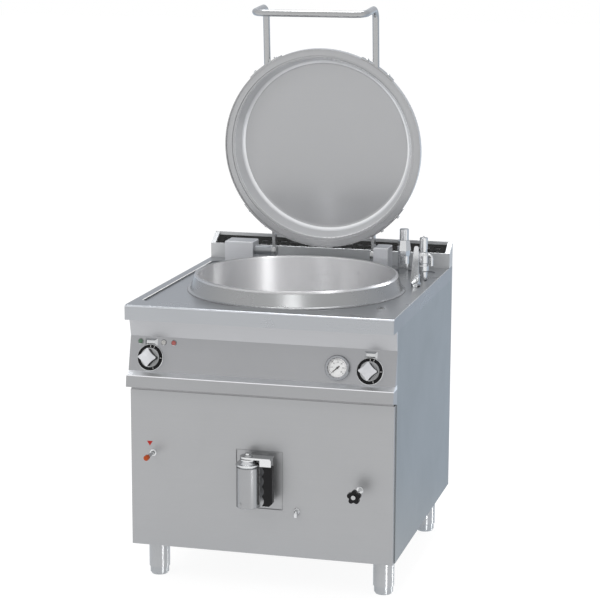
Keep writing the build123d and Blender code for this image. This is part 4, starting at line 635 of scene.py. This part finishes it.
# %% Scale and numbers of the gauge
GAUGE_X, GAUGE_Z = 0.229, 0.698
FACE_OUT = 0.0025
SWEEP_START, SWEEP = 222.0, 264.0
STROKES, VALUES = 25, 7
STROKES_A_VALUE = 4
SCALE_R, NUMBER_R = 0.0250, 0.0165
LONG_STROKE, SHORT_STROKE = (0.0205, 0.0011), (0.0225, 0.0005)
NUMBER_SIZE, NUMBER_T = 0.0052, 0.00008
VALUE_STEP = 10
face = on_fascia(GAUGE_X, GAUGE_Z, FACE_OUT)
for i in range(STROKES):
    angle = SWEEP_START - SWEEP * i / (STROKES - 1)
    inner, width = SHORT_STROKE if i % STROKES_A_VALUE else LONG_STROKE
    stroke = flat_mark(f"gauge_stroke_{i:02d}", turned_bar(inner, SCALE_R, angle, width), face)
    finish_piece(stroke, paints["print_black"], "cabinet")


def number_on(name, words, matrix):
    """Small raised figures centred on a matrix."""
    curve = bpy.data.curves.new(name, "FONT")
    curve.body = words
    curve.size = NUMBER_SIZE
    curve.align_x = "CENTER"
    curve.align_y = "CENTER"
    curve.extrude = NUMBER_T
    piece = bpy.data.objects.new(name, curve)
    piece.matrix_world = matrix @ Matrix.Translation((0, 0, LIFT))
    return finish_piece(piece, paints["print_black"], "cabinet")


for value in range(VALUES):
    a = math.radians(SWEEP_START - SWEEP * value / (VALUES - 1))
    spot = face @ Matrix.Translation((NUMBER_R * math.cos(a), NUMBER_R * math.sin(a), 0.0))
    number_on(f"gauge_number_{value}", str(value * VALUE_STEP), spot)
print("gauge strokes", STROKES, "numbers", VALUES)

# %% Cap of the star knob and the joint round the tap's window
FLUSH, CAP_T = 0.00015, 0.00003
CAP_R, CAP_CORNERS = 0.0065, 32
star_low, star_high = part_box("star_knob")
star_centre = (star_low + star_high) / 2
star_front = on_front(star_centre.x, star_low[1] + FLUSH, star_centre.z)
insert = flat_mark("star_cap", circle(CAP_R, CAP_CORNERS), star_front, thickness=CAP_T)
finish_piece(insert, paints["print_silver_and_highlight"], "star_knob")

WINDOW_X, WINDOW_Z = -0.003, 0.3495
WINDOW_HALF_W, WINDOW_HALF_H = 0.070, 0.0875
JOINT = 0.0009
door_low, door_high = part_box("front_door")
upright = on_front(WINDOW_X, door_low[1], WINDOW_Z)
joints = {"top": block(WINDOW_HALF_W, JOINT / 2, y=WINDOW_HALF_H),
          "foot": block(WINDOW_HALF_W, JOINT / 2, y=-WINDOW_HALF_H),
          "left": block(JOINT / 2, WINDOW_HALF_H, x=-WINDOW_HALF_W),
          "right": block(JOINT / 2, WINDOW_HALF_H, x=WINDOW_HALF_W)}
for side_name, corners in joints.items():
    joint = flat_mark(f"window_joint_{side_name}", corners, upright)
    finish_piece(joint, paints["joint_grey_and_shade"], "cabinet")
print("star cap and window joint")

# %% Pointer mark over the reset rod
MARK_X, MARK_Z = -0.339, 0.435
MARK_SIZE = 0.009
MARK_RISE = MARK_SIZE * 0.8
triangle = [(-MARK_SIZE, MARK_RISE), (0.0, -MARK_RISE), (MARK_SIZE, MARK_RISE)]
pointer = flat_mark("reset_pointer", triangle, on_front(MARK_X, door_low[1], MARK_Z))
finish_piece(pointer, paints["print_red"], "cabinet")
print("pointer at", MARK_X, MARK_Z)

# %% [markdown]
# ### Painted shade and highlights at joints and folds
# A thin grey ring in the crease at the collar's foot is painted shade, and its height is slightly
# uneven. A grey strip in the gap over the door is painted shade, and two strips on the worktop,
# along the basin's left side and along the right edge, are painted highlights on its folds.

# %% Painted shade in the crease round the collar's foot
CREASE_SHADE_H, CREASE_SHADE_W = 0.0010, 0.0026
CREASE_SHADE_STEPS, CREASE_SHADE_SECTION = 180, 7


def crease_shade_ring(name, centre, radius):
    """Low ring with a rounded section and slightly uneven height."""
    verts = []
    faces = []
    for i in range(CREASE_SHADE_STEPS):
        a = 2 * math.pi * i / CREASE_SHADE_STEPS
        swell = 1.0 + 0.10 * math.sin(37 * a) + 0.06 * math.sin(83 * a + 1.0)
        for j in range(CREASE_SHADE_SECTION):
            b = math.pi * j / (CREASE_SHADE_SECTION - 1)
            r = radius + 0.5 * CREASE_SHADE_W * math.cos(b)
            z = CREASE_SHADE_H * swell * math.sin(b)
            verts.append((centre[0] + r * math.cos(a), centre[1] + r * math.sin(a), centre[2] + z))
        here, there = i * CREASE_SHADE_SECTION, (i + 1) % CREASE_SHADE_STEPS * CREASE_SHADE_SECTION
        for j in range(CREASE_SHADE_SECTION - 1):
            faces.append((here + j, there + j, there + j + 1, here + j + 1))
    mesh = bpy.data.meshes.new(name)
    mesh.from_pydata(verts, [], faces)
    for face_poly in mesh.polygons:
        face_poly.use_smooth = True
    return bpy.data.objects.new(name, mesh)


collar_low, collar_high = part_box("pan_collar")
centre = ((collar_low[0] + collar_high[0]) / 2, (collar_low[1] + collar_high[1]) / 2, collar_low[2])
collar_radius = (collar_high[0] - collar_low[0]) / 2
# A grey ring in the crease at the collar's foot: painted shade.
crease_shade = crease_shade_ring("collar_crease_shade", centre, collar_radius)
finish_piece(crease_shade, paints["joint_grey_and_shade"], "cabinet")
print("painted_crease_shade radius", round(collar_radius, 4))

# %% Painted shade in the gap over the door, and painted highlights on the worktop's folds
GAP_SHADE_HALF_H, GAP_SHADE_INSET, GAP_SHADE_BACK = 0.0030, 0.002, 0.0012
gap_shade_half = (door_high[0] - door_low[0]) / 2 - GAP_SHADE_INSET
# A grey strip in the gap over the door: painted shade.
gap_shade_place = on_front(0.0, door_low[1] + GAP_SHADE_BACK, door_high[2] + GAP_SHADE_HALF_H)
gap_shade = flat_mark("door_gap_shade", block(gap_shade_half, GAP_SHADE_HALF_H), gap_shade_place)
finish_piece(gap_shade, paints["gap_shade_grey"], "cabinet")


def top_strip(name, x0, x1, y0, y1, material):
    """Thin strip lying on the worktop."""
    corners = [(x0, y0), (x1, y0), (x1, y1), (x0, y1)]
    strip_piece = flat_mark(name, corners, Matrix.Translation((0.0, 0.0, top_high[2])))
    return finish_piece(strip_piece, material, "cabinet")


BASIN_X, BASIN_FRONT, BASIN_BACK = 0.3718, -0.340, 0.335
BASIN_HIGHLIGHT_W, SIDE_HIGHLIGHT_W = 0.0040, 0.0014
edge_front, edge_back = top_low[1] + 0.01, top_high[1] - 0.06
# Painted highlights: a white strip on the basin's left fold and a silver one on the right edge.
top_strip("basin_painted_highlight", -BASIN_X - BASIN_HIGHLIGHT_W, -BASIN_X, BASIN_FRONT, BASIN_BACK, paints["print_white_and_highlight"])
top_strip("side_painted_highlight", top_high[0] - SIDE_HIGHLIGHT_W, top_high[0], edge_front, edge_back, paints["print_silver_and_highlight"])
print("gap_shade", round(2 * gap_shade_half, 3), "basin fold at", -BASIN_X)

# %% [markdown]
# ## Soft edges
# Folded sheet never has a razor edge: the fold catches a thin line of light. A narrow bevel
# modifier on the large sheets gives that line without touching their shape.

# %% Narrow bevels on folded sheets
FOLDED = {"front_door": 0.0010, "control_fascia": 0.0012, "trim_rail": 0.0035, "rear_upstand": 0.0012,
          "side_panels": 0.0008, "hinge_boxes": 0.0008}
SHARP = math.radians(40)
for name, width in FOLDED.items():
    bevel = nodes[name].modifiers.new("fold", "BEVEL")
    bevel.width = width
    bevel.segments = 3
    bevel.limit_method = "ANGLE"
    bevel.angle_limit = SHARP
print("bevelled", len(FOLDED))

# %% [markdown]
# ## Studio
# A plain pale floor and white surroundings suit catering steel, which shows what is round it. To
# the camera the floor and the world are white. In reflections both are pale in front and a little
# bluer behind, and for soft light the world is a mid grey, so the metal keeps its own grey.

# %% Floor
def plane_mesh(name, half_x, front, back):
    """Flat rectangle on the floor."""
    mesh = bpy.data.meshes.new(name)
    mesh.from_pydata([(-half_x, front, 0), (half_x, front, 0), (half_x, back, 0), (-half_x, back, 0)],
                     [], [(0, 1, 2, 3)])
    return bpy.data.objects.new(name, mesh)


FLOOR_DROP = 0.0005
floor = plane_mesh("floor", 20.0, -14.0, 30.0)
floor.location.z = -FLOOR_DROP
bpy.context.scene.collection.objects.link(floor)
floor_paint, tree, shader = new_material("floor_paint")
speck = add(tree, "ShaderNodeTexNoise", Vector=scaled_position(tree, (1.0, 1.0, 1.0)), Scale=40.0)
PAINT_LOW, PAINT_HIGH = (0.80, 0.80, 0.80, 1), (0.84, 0.84, 0.84, 1)
tree.links.new(blend_colour(tree, speck.outputs["Fac"], PAINT_LOW, PAINT_HIGH), shader.inputs["Base Color"])
shader.inputs["Roughness"].default_value = 0.8
path = tree.nodes.new("ShaderNodeLightPath")
where = tree.nodes.new("ShaderNodeSeparateXYZ")
tree.links.new(tree.nodes.new("ShaderNodeTexCoord").outputs["Object"], where.inputs[0])
behind = add(tree, "ShaderNodeMapRange", Value=where.outputs["Y"], From_Min=-1.0, From_Max=1.0)
GLOW_FRONT, GLOW_BACK, GLOW_SEEN = (1.15, 1.15, 1.15, 1), (0.72, 0.81, 0.92, 1), (1.2, 1.2, 1.2, 1)
SEEN_SHARE = 0.75
bright = blend_colour(tree, behind.outputs["Result"], GLOW_FRONT, GLOW_BACK)
glow = add(tree, "ShaderNodeEmission", Strength=1.0,
           Color=blend_colour(tree, path.outputs["Is Camera Ray"], bright, GLOW_SEEN))
seen = maths(tree, "MULTIPLY", path.outputs["Is Camera Ray"], SEEN_SHARE)
mix = tree.nodes.new("ShaderNodeMixShader")
tree.links.new(maths(tree, "MAXIMUM", seen, path.outputs["Is Glossy Ray"]), mix.inputs[0])
tree.links.new(shader.outputs[0], mix.inputs[1])
tree.links.new(glow.outputs[0], mix.inputs[2])
tree.links.new(mix.outputs[0], tree.nodes["Material Output"].inputs["Surface"])
floor.data.materials.append(floor_paint)
print("floor ready")

# %% World
world = bpy.data.worlds.new("studio")
bpy.context.scene.world = world
world.use_nodes = True
sky = world.node_tree
background = sky.nodes["Background"]
path = sky.nodes.new("ShaderNodeLightPath")
direct = maths(sky, "MAXIMUM", path.outputs["Is Camera Ray"], path.outputs["Is Transmission Ray"])
way = sky.nodes.new("ShaderNodeSeparateXYZ")
sky.links.new(sky.nodes.new("ShaderNodeTexCoord").outputs["Generated"], way.inputs[0])
rear = add(sky, "ShaderNodeMapRange", Value=way.outputs["Y"], From_Min=-0.4, From_Max=0.6)
ROOM_FRONT, ROOM_BACK, ROOM_DIFFUSE = (0.95, 0.95, 0.95, 1), (0.68, 0.71, 0.76, 1), (0.55, 0.55, 0.55, 1)
WHITE = (1.0, 1.0, 1.0, 1)
room = blend_colour(sky, rear.outputs["Result"], ROOM_FRONT, ROOM_BACK)
room = blend_colour(sky, path.outputs["Is Glossy Ray"], ROOM_DIFFUSE, room)
sky.links.new(blend_colour(sky, direct, room, WHITE), background.inputs["Color"])
background.inputs["Strength"].default_value = 1.0
print("world ready")

# %% [markdown]
# ### Lamps
# Three large lamps light everything. The others are a studio's small reflectors: each shines on
# the named nodes alone and gives them the one highlight that shows their form, such as the bright
# band in the pan and the lines on the legs. A lamp that would show as a patch in polished steel
# is kept out of reflections.

# %% Lamps
def lamp(name, place, target, size, power):
    """Rectangular area lamp aimed at a point."""
    data = bpy.data.lights.new(name, "AREA")
    data.shape = "RECTANGLE"
    data.size, data.size_y = size
    data.energy = power
    piece = bpy.data.objects.new(name, data)
    piece.location = place
    aim = Vector(target) - Vector(place)
    piece.rotation_euler = aim.to_track_quat("-Z", "Y").to_euler()
    bpy.context.scene.collection.objects.link(piece)
    return piece


def only_on(piece, names):
    """Let a lamp shine on the named nodes alone."""
    group = bpy.data.collections.new(piece.name + "_on")
    for name in names:
        group.objects.link(nodes[name])
    piece.light_linking.receiver_collection = group


MIDDLE = (0.0, 0.0, 0.9)
FOOT = (0.0, 0.0, 0.1)
LEGS = ["leg_tubes", "foot_front_left", "foot_front_right", "foot_rear_left", "foot_rear_right"]
# Each lamp: place, target, size, power, the only nodes it lights, and whether reflections show it.
LAMPS = {
    "key_lamp": ((-2.6, -3.2, 3.6), (0.0, 0.0, 0.8), (2.4, 2.4), 52.0, None, False),
    "top_lamp": ((-0.1, 0.8, 4.2), (0.0, 0.2, 0.9), (2.0, 2.0), 70.0, None, True),
    "rim_lamp": ((2.2, 3.1, 1.7), MIDDLE, (0.6, 2.6), 20.0, None, False),
    "fill_lamp": ((0.7, -2.6, 1.3), (0.0, 0.3, 1.0), (0.8, 0.5), 9.0, ["lid_liner", "rear_upstand"], False),
    "strip_lamp": ((2.8, -1.9, 3.7), MIDDLE, (0.6, 1.3), 75.0, ["kettle_pan"], True),
    "front_lamp": ((0.8, -4.4, 2.15), MIDDLE, (1.1, 0.9), 42.0, ["pan_collar"], True),
    "side_lamp": ((2.6, 2.0, 1.9), MIDDLE, (0.4, 2.8), 90.0, ["kettle_pan", "lid_liner"], True),
    "lid_lamp": ((-0.95, 2.5, 3.5), (0.0, 0.3, 1.0), (1.4, 1.4), 110.0, ["lid_liner"], True),
    "low_lamp": ((1.8, -1.9, 0.2), FOOT, (0.3, 0.4), 18.0, [*LEGS, "tap_body"], True),
    "edge_lamp": ((2.6, 1.1, 0.25), FOOT, (0.3, 0.4), 24.0, LEGS, True),
}
for name, (place, target, size, power, receivers, mirrored) in LAMPS.items():
    piece = lamp(name, place, target, size, power)
    piece.visible_glossy = mirrored
    if receivers:
        only_on(piece, receivers)
bpy.data.objects["fill_lamp"].visible_camera = False
print("lamps", len(LAMPS))

# %% [markdown]
# ## Camera
# A long lens from a standing height, a little to the right, shows such a cabinet well. The place
# is given in the cabinet's own frame and moved by the same step as the model.

# %% Camera
CABINET_SHIFT_Y = 0.024
EYE = Vector((1.5174, -5.7439 + CABINET_SHIFT_Y, 1.9762))
YAW, PITCH, ROLL = 14.715, 11.148, 0.205
LENS_MM, SENSOR_MM = 118.16, 36.0
camera_data = bpy.data.cameras.new("camera")
camera_data.lens = LENS_MM
camera_data.sensor_width = SENSOR_MM
camera_data.clip_end = 60.0
camera = bpy.data.objects.new("camera", camera_data)
turn = (Matrix.Rotation(math.radians(YAW), 4, "Z") @ Matrix.Rotation(math.radians(90 - PITCH), 4, "X")
        @ Matrix.Rotation(math.radians(ROLL), 4, "Z"))
camera.matrix_world = Matrix.Translation(EYE) @ turn
bpy.context.scene.collection.objects.link(camera)
bpy.context.scene.camera = camera
bpy.context.scene.view_settings.view_transform = "Standard"
print("camera", [round(v, 3) for v in EYE])
